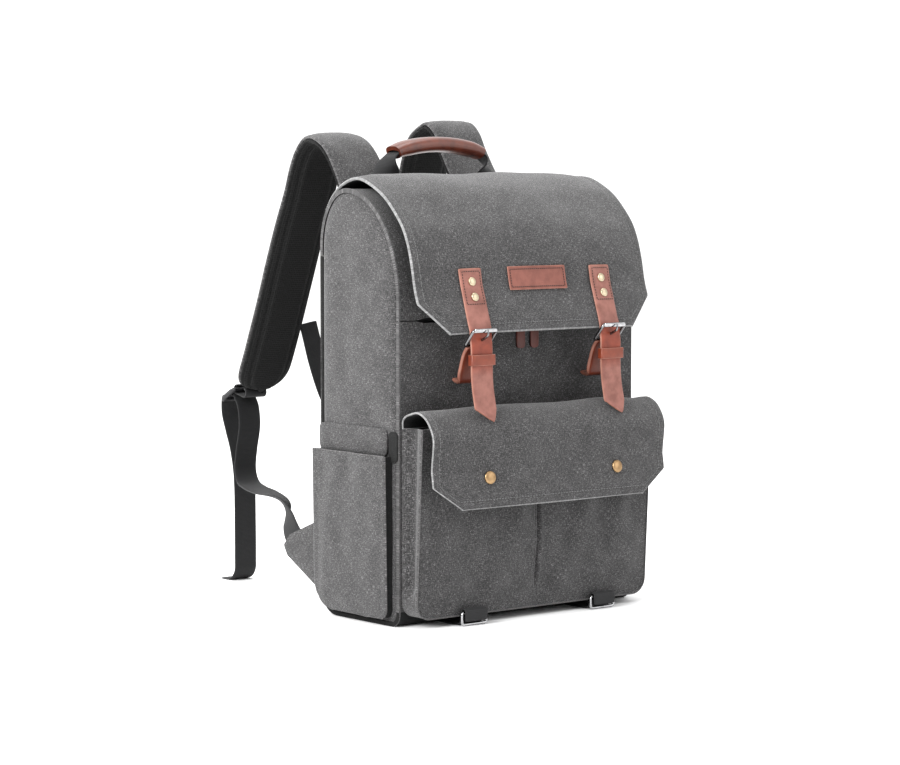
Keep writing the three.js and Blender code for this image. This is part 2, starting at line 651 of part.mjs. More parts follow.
function closure(side, name) {
  const x = (side * STRAP_SPACING) / 2;
  const lift = GAP + LEATHER;
  const lip = flapFace(flapLip.y, x);
  const middle = lip.p.clone().addScaledVector(lip.n, GAP + LEATHER / 2).add(point(0, -BUCKLE_DROP));
  const tilt = THREE.MathUtils.degToRad(BUCKLE_TILT);
  const up = point(-Math.sin(tilt), Math.cos(tilt));
  const barPitch = BUCKLE_LENGTH - BUCKLE_WIRE;
  const roller = middle.clone().addScaledVector(up, barPitch / 2);
  const rear = middle.clone().addScaledVector(up, -barPitch / 2);

  const flapNormals = normalsOf(flapLine);
  const strapEnd = flapShareAt(STRAP_RISE);
  const lifted = flapLine.map((p, i) => p.clone().addScaledVector(flapNormals[i], flapCrown(x) + lift));
  const below = lifted.filter((p, i) => flapShares[i] < strapEnd);
  const [last, next] = [below.length - 1, below.length];
  const mix = (strapEnd - flapShares[last]) / (flapShares[next] - flapShares[last]);
  const onFlap = [...below, lifted[last].clone().lerp(lifted[next], mix)];
  const faceY = middle.x - LEATHER / 2;
  const tail = STRAP_ROUTE.map(({ down, out }) => point(
    faceY - out * STRAP_TAIL_LIFT, middle.y - down * STRAP_TAIL)).reverse();
  const free = smooth([...tail, point(faceY, middle.y), onFlap[0]], 22);
  const line = [...free.slice(0, -1), ...onFlap];
  const length = lengthOf(line);
  const flapFrom = shares(line)[free.length - 2];
  const full = STRAP_WIDTH / 2;
  const halfWidth = (t) => full * Math.min(STRAP_TIP_SHARE + (t * length) / STRAP_POINT, 1);
  const strap = strip(line, {
    centre: x, halfWidth, shift: (t) => STRAP_TIP_SHIFT * (full - halfWidth(t)), thick: LEATHER, cols: 2,
    rise: (t, across) => (t > flapFrom ? flapCrown(x + across) - flapCrown(x) : 0),
  });
  const hole = block(STRAP_HOLE, 4 * LEATHER, barPitch - BUCKLE_WIRE, x, middle.x, middle.y);
  add(`closure_strap_${name}`, carve([strap], [hole]), leather);

  const strapTop = onFlap[onFlap.length - 1].y;
  for (const [row, part] of [[0, 'upper'], [1, 'lower']]) {
    const seat = flapFace(strapTop - RIVET_FIRST - row * RIVET_PITCH, x);
    const at = seat.p.clone().addScaledVector(seat.n, lift + 2 * GAP);
    add(`rivet_${part}_${name}`, dome(RIVET_RADIUS, RIVET_DOME, x, at, seat.n), brass);
  }

  const ring = roundedRect(BUCKLE_WIDTH, BUCKLE_LENGTH, 3);
  ring.holes.push(roundedRect(BUCKLE_WIDTH - 2 * BUCKLE_WIRE, BUCKLE_LENGTH - 2 * BUCKLE_WIRE, 0.8));
  add(`buckle_frame_${name}`, plate(ring, BUCKLE_WIRE - 0.4, middle, up, x), steel);

  const eye = BUCKLE_WIRE / Math.SQRT2 + GAP;
  const tip = roller.clone().add(point(-BUCKLE_WIRE - PRONG_THICK, 1.5));
  const knee = tip.clone().add(point(BUCKLE_WIRE, -0.55 * barPitch));
  const tongue = strip([rear, knee, tip], {
    centre: x, halfWidth: PRONG_WIDTH / 2, thick: PRONG_THICK, cols: 1,
  });
  const hub = barAlongX(rear, eye + PRONG_THICK * 0.6, x, PRONG_WIDTH);
  const bore = barAlongX(rear, eye, x, 2 * PRONG_WIDTH);
  add(`buckle_prong_${name}`, carve([tongue, hub], [bore]), steel);

  const keeperZ = middle.y - KEEPER_DROP;
  const strapAt = stretch(line, 0, 1, 60).reduce((best, p) => (
    Math.abs(p.y - keeperZ) < Math.abs(best.y - keeperZ) ? p : best));
  const room = point(STRAP_WIDTH + 2 * GAP, LEATHER + 2 * KEEPER_SLACK);
  const band = roundedRect(room.x + 2 * KEEPER_THICK, room.y + 2 * KEEPER_THICK, KEEPER_THICK);
  band.holes.push(roundedRect(room.x, room.y, GAP));
  const keeper = new THREE.ExtrudeGeometry(band, {
    depth: KEEPER_HEIGHT, bevelEnabled: false, curveSegments: 3,
  });
  keeper.translate(x, strapAt.x + LEATHER / 2, keeperZ - KEEPER_HEIGHT / 2);
  add(`strap_keeper_${name}`, keeper, leather);

  const seat = FRONT - GAP;
  const low = rear.y - ANCHOR_DROP;
  const anchorLine = smooth([
    ...ANCHOR_ROUTE.map(({ out, up }) => point(seat + out * (rear.x - seat), low + up * ANCHOR_DROP)),
    rear.clone().add(point(-ANCHOR_THICK / 2, -eye)),
  ], 14);
  const halfAnchor = STRAP_WIDTH / 2 - GAP;
  const tongueStrip = strip(anchorLine, { centre: x, halfWidth: halfAnchor, thick: ANCHOR_THICK, cols: 1 });
  const loop = barAlongX(rear, eye + LEATHER * 0.6, x, 2 * halfAnchor);
  const barHole = barAlongX(rear, eye, x, 4 * halfAnchor);
  const slotSize = 4 * BUCKLE_WIRE;
  const slot = block(PRONG_WIDTH + 4 * GAP, slotSize, slotSize, x, rear.x, rear.y);
  add(`anchor_strap_${name}`, carve([tongueStrip, loop], [barHole, slot]), leather);
}

// Pockets: a front sheet with rounded lower corners and a gusset that folds in round three sides
// place(u, v, d) puts u across, v up and d out of the face that carries the pocket.
function pocketOutline(half, base, top, [left, right]) {
  return [
    point(-half, top), point(-half, base + (top - base) / 2),
    ...corner(-half + left, base + left, left, 180, 270, 4),
    point(0, base),
    ...corner(half - right, base + right, right, 270, 360, 4),
    point(half, base + (top - base) / 2), point(half, top),
  ];
}

function pocketPair({ half, base, top, radii, depthTop, depthBase, fold, place }) {
  const depth = (v) => THREE.MathUtils.lerp(depthBase, depthTop, (v - base) / (top - base));
  const tall = Math.max(...radii);
  const heights = [0, 0.06, 0.2, 0.4, 0.7, 1].map((s) => base + s * tall);
  heights.push(...[0.25, 0.5, 0.75, 1].map((s) => THREE.MathUtils.lerp(base + tall, top, s)));
  const reach = (v, radius) => {
    const low = Math.max(0, radius - (v - base));
    return half - radius + Math.sqrt(radius ** 2 - low ** 2);
  };
  const layer = (inset) => heights.map((v) => {
    const [left, right] = [-reach(v, radii[0]), reach(v, radii[1])];
    return [0, 0.25, 0.5, 0.75, 1].map((s) => place(
      THREE.MathUtils.lerp(left, right, s), v, depth(v) - inset));
  });
  const front = sheet(layer(0), layer(CLOTH));

  const outline = pocketOutline(half, base, top, radii);
  const inner = offset(outline, CLOTH);
  const levels = [0, 0.25, 0.5, 0.75, 1];
  const side = (line) => line.map((p, i) => {
    const raised = THREE.MathUtils.clamp((p.y - base - tall) / tall, 0, 1);
    return levels.map((s) => {
      const inwards = fold * raised * (1 - Math.abs(2 * s - 1)) * -Math.sign(outline[i].x);
      const d = THREE.MathUtils.lerp(GAP, depth(p.y) - CLOTH - GAP, s);
      return place(p.x + inwards, p.y, d);
    });
  });
  return { front, gusset: sheet(side(outline), side(inner)) };
}

// out is the share of POCKET_FLAP_STAND; up is the share of the height from foot to crest.
const POCKET_FLAP_ROUTE = [
  { out: 0, up: 0.88 },
  { out: 0.035, up: 0.92 },
  { out: 0.12, up: 0.955 },
  { out: 0.26, up: 0.98 },
  { out: 0.425, up: 1 },
  { out: 0.58, up: 0.983 },
  { out: 0.74, up: 0.93 },
  { out: 0.88, up: 0.83 },
  { out: 0.945, up: 0.73 },
  { out: 0.94, up: 0.63 },
  { out: 0.9, up: 0.42 },
  { out: 0.925, up: 0.31 },
  { out: 1, up: 0 },
];

function frontPocket() {
  const { front, gusset } = pocketPair({
    half: POCKET_WIDTH / 2, base: POCKET_BASE, top: POCKET_TOP, radii: [POCKET_CORNER, POCKET_CORNER],
    depthTop: POCKET_DEPTH_TOP, depthBase: POCKET_DEPTH_BASE, fold: POCKET_FOLD,
    place: (u, v, d) => new THREE.Vector3(u, FRONT - d, v),
  });
  add('pocket_front', front, canvas);
  add('pocket_gusset', gusset, canvas);

  const seat = CLOTH + GAP;
  const curve = smooth(POCKET_FLAP_ROUTE.map(({ out, up }) => point(
    FRONT - seat - out * (POCKET_FLAP_STAND - seat),
    THREE.MathUtils.lerp(POCKET_FLAP_FOOT, POCKET_FLAP_CREST, up))), 22).reverse();
  const line = [...curve, point(FRONT - seat, POCKET_TOP + GAP)];
  const half = POCKET_FLAP_WIDTH / 2;
  const crown = (t, x) => POCKET_FLAP_CROWN * (1 - (x / half) ** 2) * Math.min(1, 2.4 * (1 - t));
  add('pocket_flap', strip(line, {
    thick: CLOTH, cols: 8, rise: crown,
    halfWidth: (t) => THREE.MathUtils.lerp(
      POCKET_FLAP_EDGE_WIDTH / 2, half, Math.min(t / POCKET_FLAP_CUT, 1)),
  }), canvas);

  const share = shares(line);
  const i = line.findIndex((p) => p.y > SNAP_HEIGHT);
  const mix = (SNAP_HEIGHT - line[i - 1].y) / (line[i].y - line[i - 1].y);
  const seatPoint = line[i - 1].clone().lerp(line[i], mix);
  const along = line[i].clone().sub(line[i - 1]).normalize();
  const n = point(-along.y, along.x);
  for (const [side, name] of [[-1, 'left'], [1, 'right']]) {
    const x = (side * SNAP_SPACING) / 2;
    const at = seatPoint.clone().addScaledVector(n, crown(share[i], x) + 2 * GAP);
    add(`pocket_snap_${name}`, dome(SNAP_RADIUS, SNAP_DOME, x, at, n), brass);
  }
}

function sidePocket(side, name) {
  const middle = BACK - SIDE_POCKET_WIDTH / 2;
  const face = (side * BODY_WIDTH) / 2;
  const { front, gusset } = pocketPair({
    half: SIDE_POCKET_WIDTH / 2, base: SIDE_POCKET_BASE, top: SIDE_POCKET_TOP,
    radii: [SIDE_POCKET_CORNER, SIDE_POCKET_BACK_CORNER],
    depthTop: SIDE_POCKET_DEPTH, depthBase: SIDE_POCKET_DEPTH * SIDE_POCKET_TAPER, fold: 0,
    place: (u, v, d) => new THREE.Vector3(face + side * d, middle + u, v),
  });
  add(`side_pocket_${name}`, front, canvas);
  add(`side_pocket_gusset_${name}`, gusset, blackCanvas);

  const shape = roundedRect(BAND_LENGTH, BAND_HEIGHT, 6);
  const inner = face + side * GAP;
  const outer = inner + side * BAND_THICK;
  const band = slab(shape, Math.min(inner, outer), Math.max(inner, outer), 3);
  band.translate(0, BACK - BAND_LENGTH / 2, SIDE_POCKET_TOP + BAND_HEIGHT / 2);
  add(`side_band_${name}`, band, canvas);
}

// The carry handle: webbing sewn behind the crown, with a leather grip round its middle
// side is the share of half the spread; up is the share of the rise; back is the share of the lean;
// roll turns the webbing from flat against the bag to on edge inside the grip.
const HANDLE_ARM = [
  { side: 1, up: 0, back: 0, roll: 0 },
  { side: 1, up: 0.3, back: 0.3, roll: 0 },
  { side: 1, up: 0.6, back: 0.75, roll: 20 },
  { side: 0.985, up: 0.76, back: 0.95, roll: 60 },
  { side: 0.91, up: 0.865, back: 1, roll: 90 },
  { side: 0.75, up: 0.925, back: 1, roll: 90 },
  { side: 0.5, up: 0.967, back: 1, roll: 90 },
  { side: 0.25, up: 0.992, back: 1, roll: 90 },
];
const GRIP_ROUND = 0.75;       // exponent of the grip's squared-off oval section
const GRIP_SIDES = 12;
const GRIP_STATIONS = 12;

function handle() {
  const footHeight = BODY_HEIGHT - HANDLE_FOOT_DROP;
  const foot = archPoint(THREE.MathUtils.radToDeg(Math.asin((footHeight - BACK_SPRING) / ARCH_BACK_RISE)));
  const half = HANDLE_SPREAD / 2;
  const rise = HANDLE_FOOT_DROP + HANDLE_RISE;
  const y = foot.p.x + WEB_THICK / 2 + 2 * GAP;
  const crest = { side: 0, up: 1, back: 1, roll: 90 };
  const mirrored = [...HANDLE_ARM].reverse().map((row) => ({ ...row, side: -row.side }));
  const rows = [...HANDLE_ARM, crest, ...mirrored].map(({ side, up, back, roll }) => ({
    x: side * half, y: y + back * HANDLE_LEAN, z: footHeight + up * rise, roll,
  }));
  const arm = (1 - GRIP_SHARE) / 2;
  const width = (t) => THREE.MathUtils.lerp(
    HANDLE_FOOT_WIDTH, HANDLE_WIDTH, Math.min(t / arm, (1 - t) / arm, 1));
  const facing = new THREE.Vector3(0, 1, 0);
  add('handle_webbing', ribbon(rows, width, WEB_THICK, 6, facing), blackWeb);

  const curve = new THREE.CatmullRomCurve3(
    rows.map((row) => new THREE.Vector3(row.x, row.y, row.z)), false, 'centripetal');
  const station = (i) => arm + (GRIP_SHARE * i) / GRIP_STATIONS;
  const stations = Array.from({ length: GRIP_STATIONS + 1 }, (_, i) => station(i));
  const oval = (c) => Math.sign(c) * Math.abs(c) ** GRIP_ROUND;
  const ring = (t, wide, thick) => {
    const up = facing.clone().cross(curve.getTangent(t)).normalize();
    const p = curve.getPoint(t);
    return Array.from({ length: GRIP_SIDES }, (_, k) => {
      const a = (2 * Math.PI * (k + 0.5)) / GRIP_SIDES;
      return p.clone().addScaledVector(facing, (wide / 2) * oval(Math.cos(a)))
        .addScaledVector(up, (thick / 2) * oval(Math.sin(a)));
    });
  };
  const slot = point(HANDLE_WIDTH + 10 * GAP, 3 * WEB_THICK);
  add('handle_grip', tube(
    stations.map((t) => ring(t, GRIP_WIDTH, GRIP_THICK)),
    stations.map((t) => ring(t, slot.x, slot.y))), leather);
}

// The harness: padded shoulder straps, webbing with its adjuster, and the wing tabs
// back is the share of SHOULDER_REACH; up is the share of SHOULDER_CREST. The right strap stands a
// little higher than the left one and further back; both end at the same place.
const SHOULDER_ROUTES = {
  left: [
    { back: 0.013, up: 0.8 },
    { back: 0.02, up: 0.838 },
    { back: 0.05, up: 0.882 },
    { back: 0.111, up: 0.93 },
    { back: 0.202, up: 0.976 },
    { back: 0.303, up: 0.9985 },
    { back: 0.384, up: 0.9955 },
    { back: 0.455, up: 0.968 },
    { back: 0.51, up: 0.928 },
    { back: 0.55, up: 0.882 },
    { back: 0.586, up: 0.846 },
    { back: 0.646, up: 0.79 },
    { back: 0.707, up: 0.726 },
    { back: 0.77, up: 0.66 },
    { back: 0.84, up: 0.587 },
    { back: 0.93, up: 0.5 },
    { back: 1, up: 0.446 },
  ],
  right: [
    { back: 0.013, up: 0.8 },
    { back: 0.03, up: 0.835 },
    { back: 0.1, up: 0.872 },
    { back: 0.2, up: 0.912 },
    { back: 0.285, up: 0.965 },
    { back: 0.345, up: 1.008 },
    { back: 0.425, up: 1.031 },
    { back: 0.51, up: 1.02 },
    { back: 0.585, up: 0.996 },
    { back: 0.64, up: 0.948 },
    { back: 0.672, up: 0.902 },
    { back: 0.7, up: 0.85 },
    { back: 0.735, up: 0.785 },
    { back: 0.785, up: 0.69 },
    { back: 0.85, up: 0.587 },
    { back: 0.93, up: 0.5 },
    { back: 1, up: 0.446 },
  ],
};

function shoulderLine(name) {
  return smooth(SHOULDER_ROUTES[name].map(({ back, up }) => point(
    BACK + back * SHOULDER_REACH, up * SHOULDER_CREST)), 30);
}

function shoulder(side, name) {
  const centre = (side * SHOULDER_SPACING) / 2;
  const line = shoulderLine(name);
  const length = lengthOf(line);
  const half = SHOULDER_WIDTH / 2;
  const halfWidth = (t) => {
    const left = Math.min(1, ((1 - t) * length) / SHOULDER_END);
    return HARNESS_WEB / 2 + (half - HARNESS_WEB / 2) * Math.sqrt(1 - (1 - left) ** 2);
  };
  const edge = (x) => Math.abs(x / half) ** 4;
  add(`shoulder_cover_${name}`, strip(line, {
    centre, halfWidth, cols: 4, rise: (t, x) => -COVER_EASE * COVER_THICK * edge(x),
    thick: (t, x) => COVER_THICK * (1 - COVER_EASE * edge(x)),
  }), canvas);
  add(`shoulder_pad_${name}`, strip(line, {
    centre, halfWidth: (t) => halfWidth(t) - GAP, cols: 4, rise: -(COVER_THICK + GAP),
    thick: (t, x) => PAD_THICK * (1 - PAD_EASE * edge(x)),
  }), blackMesh);
}

// The ladder buckle hangs from a webbing loop at the end of the shoulder strap.
const adjusterAngle = THREE.MathUtils.degToRad(ADJUSTER_TILT);
const adjusterWay = point(Math.cos(adjusterAngle), Math.sin(adjusterAngle));
const adjusterUp = point(-adjusterWay.y, adjusterWay.x);
const barEye = Math.hypot(ADJUSTER_THICK, ADJUSTER_BAR) / 2 + GAP;
const loopRadius = barEye + WEB_THICK;
const [shoulderNear, shoulderEnd] = shoulderLine('left').slice(-2);
const shoulderWay = shoulderEnd.clone().sub(shoulderNear).normalize();
const shoulderUp = point(-shoulderWay.y, shoulderWay.x);
const loopRoot = shoulderEnd.clone()
  .addScaledVector(shoulderUp, -(COVER_THICK + PAD_THICK) / 2)
  .addScaledVector(shoulderWay, loopRadius + GAP);
const topBar = loopRoot.clone().add(point(LOOP_REACH, LOOP_LIFT));
const barPitch = (ADJUSTER_LENGTH - ADJUSTER_BAR) / 2;
const middleBar = topBar.clone().addScaledVector(adjusterWay, barPitch);

// A point of the ladder buckle: down from its top bar, out from its middle plane.
function onAdjuster(down, out) {
  return topBar.clone().addScaledVector(adjusterWay, down).addScaledVector(adjusterUp, out);
}

// The closed outline of a belt round two points of the YZ plane.
function beltOutline(a, b, radius) {
  const way = b.clone().sub(a);
  const turn = THREE.MathUtils.radToDeg(Math.atan2(way.y, way.x));
  return [
    ...corner(b.x, b.y, radius, turn - QUARTER, turn + QUARTER, 6),
    ...corner(a.x, a.y, radius, turn + QUARTER, turn + 3 * QUARTER, 6),
  ];
}

function adjuster(side, name) {
  const x = side * ADJUSTER_X;
  const frame = roundedRect(ADJUSTER_WIDTH, ADJUSTER_LENGTH, 3);
  const slotHeight = barPitch - ADJUSTER_BAR;
  const slotHalf = HARNESS_WEB / 2 + 3 * GAP;
  for (const way of [-1, 1]) {
    const middle = (way * barPitch) / 2;
    const low = middle - slotHeight / 2;
    const high = middle + slotHeight / 2;
    frame.holes.push(new THREE.Path([
      point(-slotHalf, low), point(-slotHalf, high), point(slotHalf, high), point(slotHalf, low)]));
  }
  add(`adjuster_${name}`, plate(frame, ADJUSTER_THICK, middleBar, adjusterWay, x), blackPlastic);

  const shape = new THREE.Shape(beltOutline(loopRoot, topBar, loopRadius));
  shape.holes.push(new THREE.Path(beltOutline(loopRoot, topBar, barEye).reverse()));
  const half = HARNESS_WEB / 2;
  add(`adjuster_loop_${name}`, slab(shape, x - half, x + half), blackWeb);
}

// The lower webbing: from the wing tab back and up to the ladder buckle, round its middle bar,
// over its lower end and down behind as a free tail that ends on the floor.
// out is the share of the way from the buckle out to the wing; back and up are the shares of the
// middle bar's distance behind the bag and of its height; roll is in degrees.
const WEB_RUN = [
  { out: 1, back: 0.24, up: 0.29, roll: 90 },
  { out: 1, back: 0.3, up: 0.36, roll: 90 },
  { out: 0.98, back: 0.335, up: 0.432, roll: 75 },
  { out: 0.93, back: 0.38, up: 0.488, roll: 45 },
  { out: 0.83, back: 0.46, up: 0.514, roll: 15 },
  { out: 0.55, back: 0.64, up: 0.52, roll: 0 },
  { out: 0.3, back: 0.8, up: 0.525, roll: 0 },
  { out: 0.15, back: 0.9, up: 0.545, roll: 0 },
  { out: 0.08, back: 0.945, up: 0.61, roll: 0 },
  { out: 0.04, back: 0.945, up: 0.71, roll: 0 },
  { out: 0.01, back: 0.93, up: 0.83, roll: 0 },
];
const WEB_TAIL = [
  { out: -0.06, back: 1.09, up: 0.89 },
  { out: -0.09, back: 1.07, up: 0.8 },
  { out: -0.12, back: 1.04, up: 0.69 },
  { out: -0.14, back: 1.02, up: 0.54 },
  { out: -0.14, back: 1.015, up: 0.3 },
  { out: -0.14, back: 1.015, up: 0.12 },
];

function webbing(side, name) {
  const wingX = WING_X - WING_THICK / 2 - 2 * GAP - WEB_THICK / 2;
  const at = ({ out, back, up, roll = 0 }) => ({
    x: side * THREE.MathUtils.lerp(ADJUSTER_X, wingX, out),
    y: BACK + back * (middleBar.x - BACK),
    z: up * middleBar.y,
    roll: side < 0 ? roll : -roll,
  });
  const wrap = ADJUSTER_THICK / 2 + GAP + WEB_THICK;
  const slotIn = barPitch - ADJUSTER_BAR / 2 - GAP - WEB_THICK;
  const round = [
    [slotIn - 0.4, -4 * wrap], [slotIn, -wrap], [slotIn, 0.3 * wrap], [slotIn + 1.4, 0.95 * wrap],
    [barPitch, wrap], [1.5 * barPitch, wrap], [2 * barPitch, wrap], [2.35 * barPitch, 0.9 * wrap],
  ].map(([down, out]) => {
    const p = onAdjuster(down, out);
    return { x: side * ADJUSTER_X, y: p.x, z: p.y, roll: 0 };
  });
  const tail = WEB_TAIL.map(at);
  const last = tail[tail.length - 1];
  const laid = [
    [0.02, 0.45], [0.25, 0.12], [0.6, 0], [1, 0],
  ].map(([along, up]) => ({
    x: last.x, y: last.y + along * TAIL_ON_FLOOR, z: WEB_THICK / 2 + up * TAIL_ON_FLOOR, roll: 0,
  }));
  const rows = [...WEB_RUN.map(at), ...round, ...tail, ...laid];
  add(`webbing_${name}`, ribbon(rows, HARNESS_WEB, WEB_THICK, 4), blackWeb);

  const root = BACK + padCrown(0.5, WING_X - WING_THICK / 2) + GAP;
  const wing = new THREE.Shape([
    point(root, WING_FOOT), point(root + 0.92 * WING_LENGTH, WING_FOOT + 0.44 * WING_ROOT),
    point(root + WING_LENGTH, WING_FOOT + 0.56 * WING_ROOT),
    point(root + 0.86 * WING_LENGTH, WING_FOOT + 0.7 * WING_ROOT), point(root, WING_FOOT + WING_ROOT),
  ]);
  const x = side * WING_X;
  add(`wing_tab_${name}`, slab(wing, x - WING_THICK / 2, x + WING_THICK / 2), canvas);
}

// The chest strap: two halves that hang from the inner edges of the shoulder straps to a buckle
// out is the share of the gap's half width; back and up as on the shoulder straps.
const STERNUM_ROUTE = [
  { out: 0.795, back: 0.818, up: 0.582 },
  { out: 0.74, back: 0.803, up: 0.545 },
  { out: 0.68, back: 0.788, up: 0.505 },
  { out: 0.6, back: 0.768, up: 0.462 },
  { out: 0.5, back: 0.753, up: 0.426 },
  { out: 0.4, back: 0.748, up: 0.412 },
];

function sternumStrap() {
  const halfGap = (SHOULDER_SPACING - SHOULDER_WIDTH) / 2;
  const last = STERNUM_ROUTE[STERNUM_ROUTE.length - 1];
  const middle = point(BACK + last.back * SHOULDER_REACH, last.up * SHOULDER_CREST);
  for (const [side, name] of [[-1, 'left'], [1, 'right']]) {
    const rows = STERNUM_ROUTE.map(({ out, back, up }) => ({
      x: side * out * halfGap, y: BACK + back * SHOULDER_REACH, z: up * SHOULDER_CREST, roll: 0,
    }));
    const edge = STERNUM_BUCKLE_WIDTH / 2 + 2 * GAP;
    rows.push({ x: side * edge, y: middle.x, z: middle.y, roll: 0 });
    add(`sternum_webbing_${name}`, ribbon(
      rows, STERNUM_WIDTH, WEB_THICK, 4, new THREE.Vector3(0, 1, 0)), blackWeb);
  }
  add('sternum_buckle', plate(
    roundedRect(STERNUM_BUCKLE_WIDTH, STERNUM_BUCKLE_HEIGHT, 4), STERNUM_BUCKLE_THICK,
    middle, point(0, 1)), blackPlastic);
}

// The base straps run under the bag to slide buckles that stand in front of the lower edge
function baseStrap(side, name) {
  const x = (side * BASE_STRAP_SPACING) / 2;
  const y = FRONT - BASE_BUCKLE_STAND;
  const barPitchZ = BASE_BUCKLE_HEIGHT - BASE_BUCKLE_WIRE;
  const topZ = GAP / 2 + BASE_BUCKLE_WIRE / 2 + barPitchZ;
  const frame = roundedRect(BASE_BUCKLE_WIDTH, BASE_BUCKLE_HEIGHT, 2.5);
  frame.holes.push(roundedRect(
    BASE_BUCKLE_WIDTH - 2 * BASE_BUCKLE_WIRE, BASE_BUCKLE_HEIGHT - 2 * BASE_BUCKLE_WIRE, 0.5));
  const middle = point(y, GAP / 2 + BASE_BUCKLE_HEIGHT / 2);
  add(`base_buckle_${name}`, plate(frame, BASE_BUCKLE_WIRE, middle, point(0, 1), x), steel);

  const reach = BASE_BUCKLE_WIRE / Math.SQRT2 + 2 * GAP + WEB_THICK / 2;
  const floor = WEB_THICK / 2;
  const rows = [
    [BACK - BACK_CORNER, floor], [0, floor], [FRONT, floor], [y + 4.3 * reach, floor],
    [y + 2.3 * reach, floor + 0.2 * reach], [y + 1.45 * reach, floor + 1.1 * reach],
    [y + reach, topZ - 1.15 * reach], [y + reach, topZ],
    [y + 0.7 * reach, topZ + 0.72 * reach], [y, topZ + reach], [y - 0.7 * reach, topZ + 0.72 * reach],
    [y - reach, topZ], [y - reach, topZ - 0.35 * BASE_BUCKLE_HEIGHT],
  ].map(([py, pz]) => ({ x, y: py, z: pz, roll: 0 }));
  const width = BASE_BUCKLE_WIDTH - 2 * BASE_BUCKLE_WIRE - 2 * GAP;
  add(`base_strap_${name}`, ribbon(rows, Math.min(HARNESS_WEB, width), WEB_THICK, 2), blackWeb);
}

bodyPanels();
frontZip();
mainFlap();
frontPocket();
handle();
sternumStrap();
for (const [side, name] of [[-1, 'left'], [1, 'right']]) {
  closure(side, name);
  sidePocket(side, name);
  shoulder(side, name);
  adjuster(side, name);
  webbing(side, name);
  baseStrap(side, name);
}

export default bag;
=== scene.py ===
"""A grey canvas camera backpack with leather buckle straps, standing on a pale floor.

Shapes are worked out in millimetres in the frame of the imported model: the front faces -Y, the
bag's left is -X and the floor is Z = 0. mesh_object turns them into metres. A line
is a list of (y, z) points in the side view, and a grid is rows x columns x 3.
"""

import math
import bpy
import numpy as np
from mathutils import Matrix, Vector


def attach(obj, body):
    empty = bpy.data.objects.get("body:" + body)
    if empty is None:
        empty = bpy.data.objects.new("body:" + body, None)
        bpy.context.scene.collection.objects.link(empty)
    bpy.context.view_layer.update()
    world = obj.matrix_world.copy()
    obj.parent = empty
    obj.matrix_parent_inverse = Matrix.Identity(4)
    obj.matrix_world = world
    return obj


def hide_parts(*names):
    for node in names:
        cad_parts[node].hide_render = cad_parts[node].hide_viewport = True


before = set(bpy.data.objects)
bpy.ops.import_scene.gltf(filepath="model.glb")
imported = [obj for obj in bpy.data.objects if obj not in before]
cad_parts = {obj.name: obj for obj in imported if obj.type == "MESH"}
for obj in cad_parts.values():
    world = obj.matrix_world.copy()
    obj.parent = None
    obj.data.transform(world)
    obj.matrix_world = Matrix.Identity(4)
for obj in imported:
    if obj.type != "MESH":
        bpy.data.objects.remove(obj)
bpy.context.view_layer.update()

MM = 0.001
SIDES = ((-1, "left"), (1, "right"))

# Sizes of the body
WIDTH = 290.0
FRONT, BACK = -60.0, 60.0
HEIGHT = 404.0
CROWN_Y = 20.5
FRONT_RISE, BACK_RISE = 104.0, 55.0
FRONT_SPRING = HEIGHT - FRONT_RISE
BACK_SPRING = HEIGHT - BACK_RISE
WALL = 4.0
FRONT_CORNER, BACK_CORNER = 12.0, 24.0
BASE_LIP = 2.0
BACK_PANEL_TOP = 340.0
BACK_PAD = 6.0
ZIP_HEIGHT = 283.0
ZIP_SLIT = 5.0
SLIT_HALF, SLIT_TAPER = 112.0, 14.0
ZIP_HALF, ZIP_TAPE = 131.0, 20.0
PULL_WIDTH, PULL_LENGTH = 10.0, 26.0
PULL_HEIGHT = 266.0
PULLS_MIDDLE, PULL_SPREAD = 9.0, 8.5

# Sizes of the flap and its closures
GAP = 0.3
FLAP_HALF = 142.0
FLAP_EDGE_HALF = 113.0
FLAP_THICK = 3.0
FLAP_STAND = 26.0
FLAP_LIP_STAND = 35.0
FLAP_DROP = 28.0
FLAP_CROWN = 5.0
SEAM_INSET = 7.0
LABEL_HALF = 35.0
LABEL_LOW, LABEL_HIGH = 308.5, 330.0
LABEL_SEAM = 2.2
LEATHER = 2.2
STRAP_X = 80.0
STRAP_HALF = 12.0

# Sizes of the pockets
POCKET_HALF = 142.0
POCKET_FOOT, POCKET_TOP = 9.0, 185.0
POCKET_CORNER = 15.0
POCKET_DEPTH_TOP, POCKET_DEPTH_FOOT = 31.0, 22.0
POCKET_FOLD = 8.0
CLOTH = 2.0
POCKET_FLAP_HALF, POCKET_FLAP_EDGE_HALF = 143.0, 112.0
POCKET_FLAP_STAND = 52.0
POCKET_FLAP_FOOT, POCKET_FLAP_CREST = 112.0, 201.5
SIDE_POCKET_FOOT, SIDE_POCKET_TOP = 7.0, 158.0
SIDE_POCKET_WIDTH = 110.0
SIDE_POCKET_DEPTH = 10.0
SIDE_POCKET_CORNERS = (10.0, 28.0)   # at the front, at the back
SNAP_X, SNAP_HEIGHT = 79.0, 139.0
SNAP_RADIUS, SNAP_RISE = 6.2, 3.0
BAND_LENGTH, BAND_HEIGHT = 104.0, 25.0
LINING_WIDTH, LINING_HEIGHT = 13.0, 28.0

# Sizes of the harness
SHOULDER_X = 80.0
SHOULDER_HALF = 29.0
SHOULDER_REACH = 198.0
SHOULDER_CREST = 457.0
WEB = 1.6
WEB_HALF = 12.5


# Lines and grids

def lengths(line):
    """Arc length at each point of a line: the running sum of |p_k - p_(k-1)|."""
    return np.concatenate([[0], np.cumsum(np.linalg.norm(np.diff(line, axis=0), axis=1))])


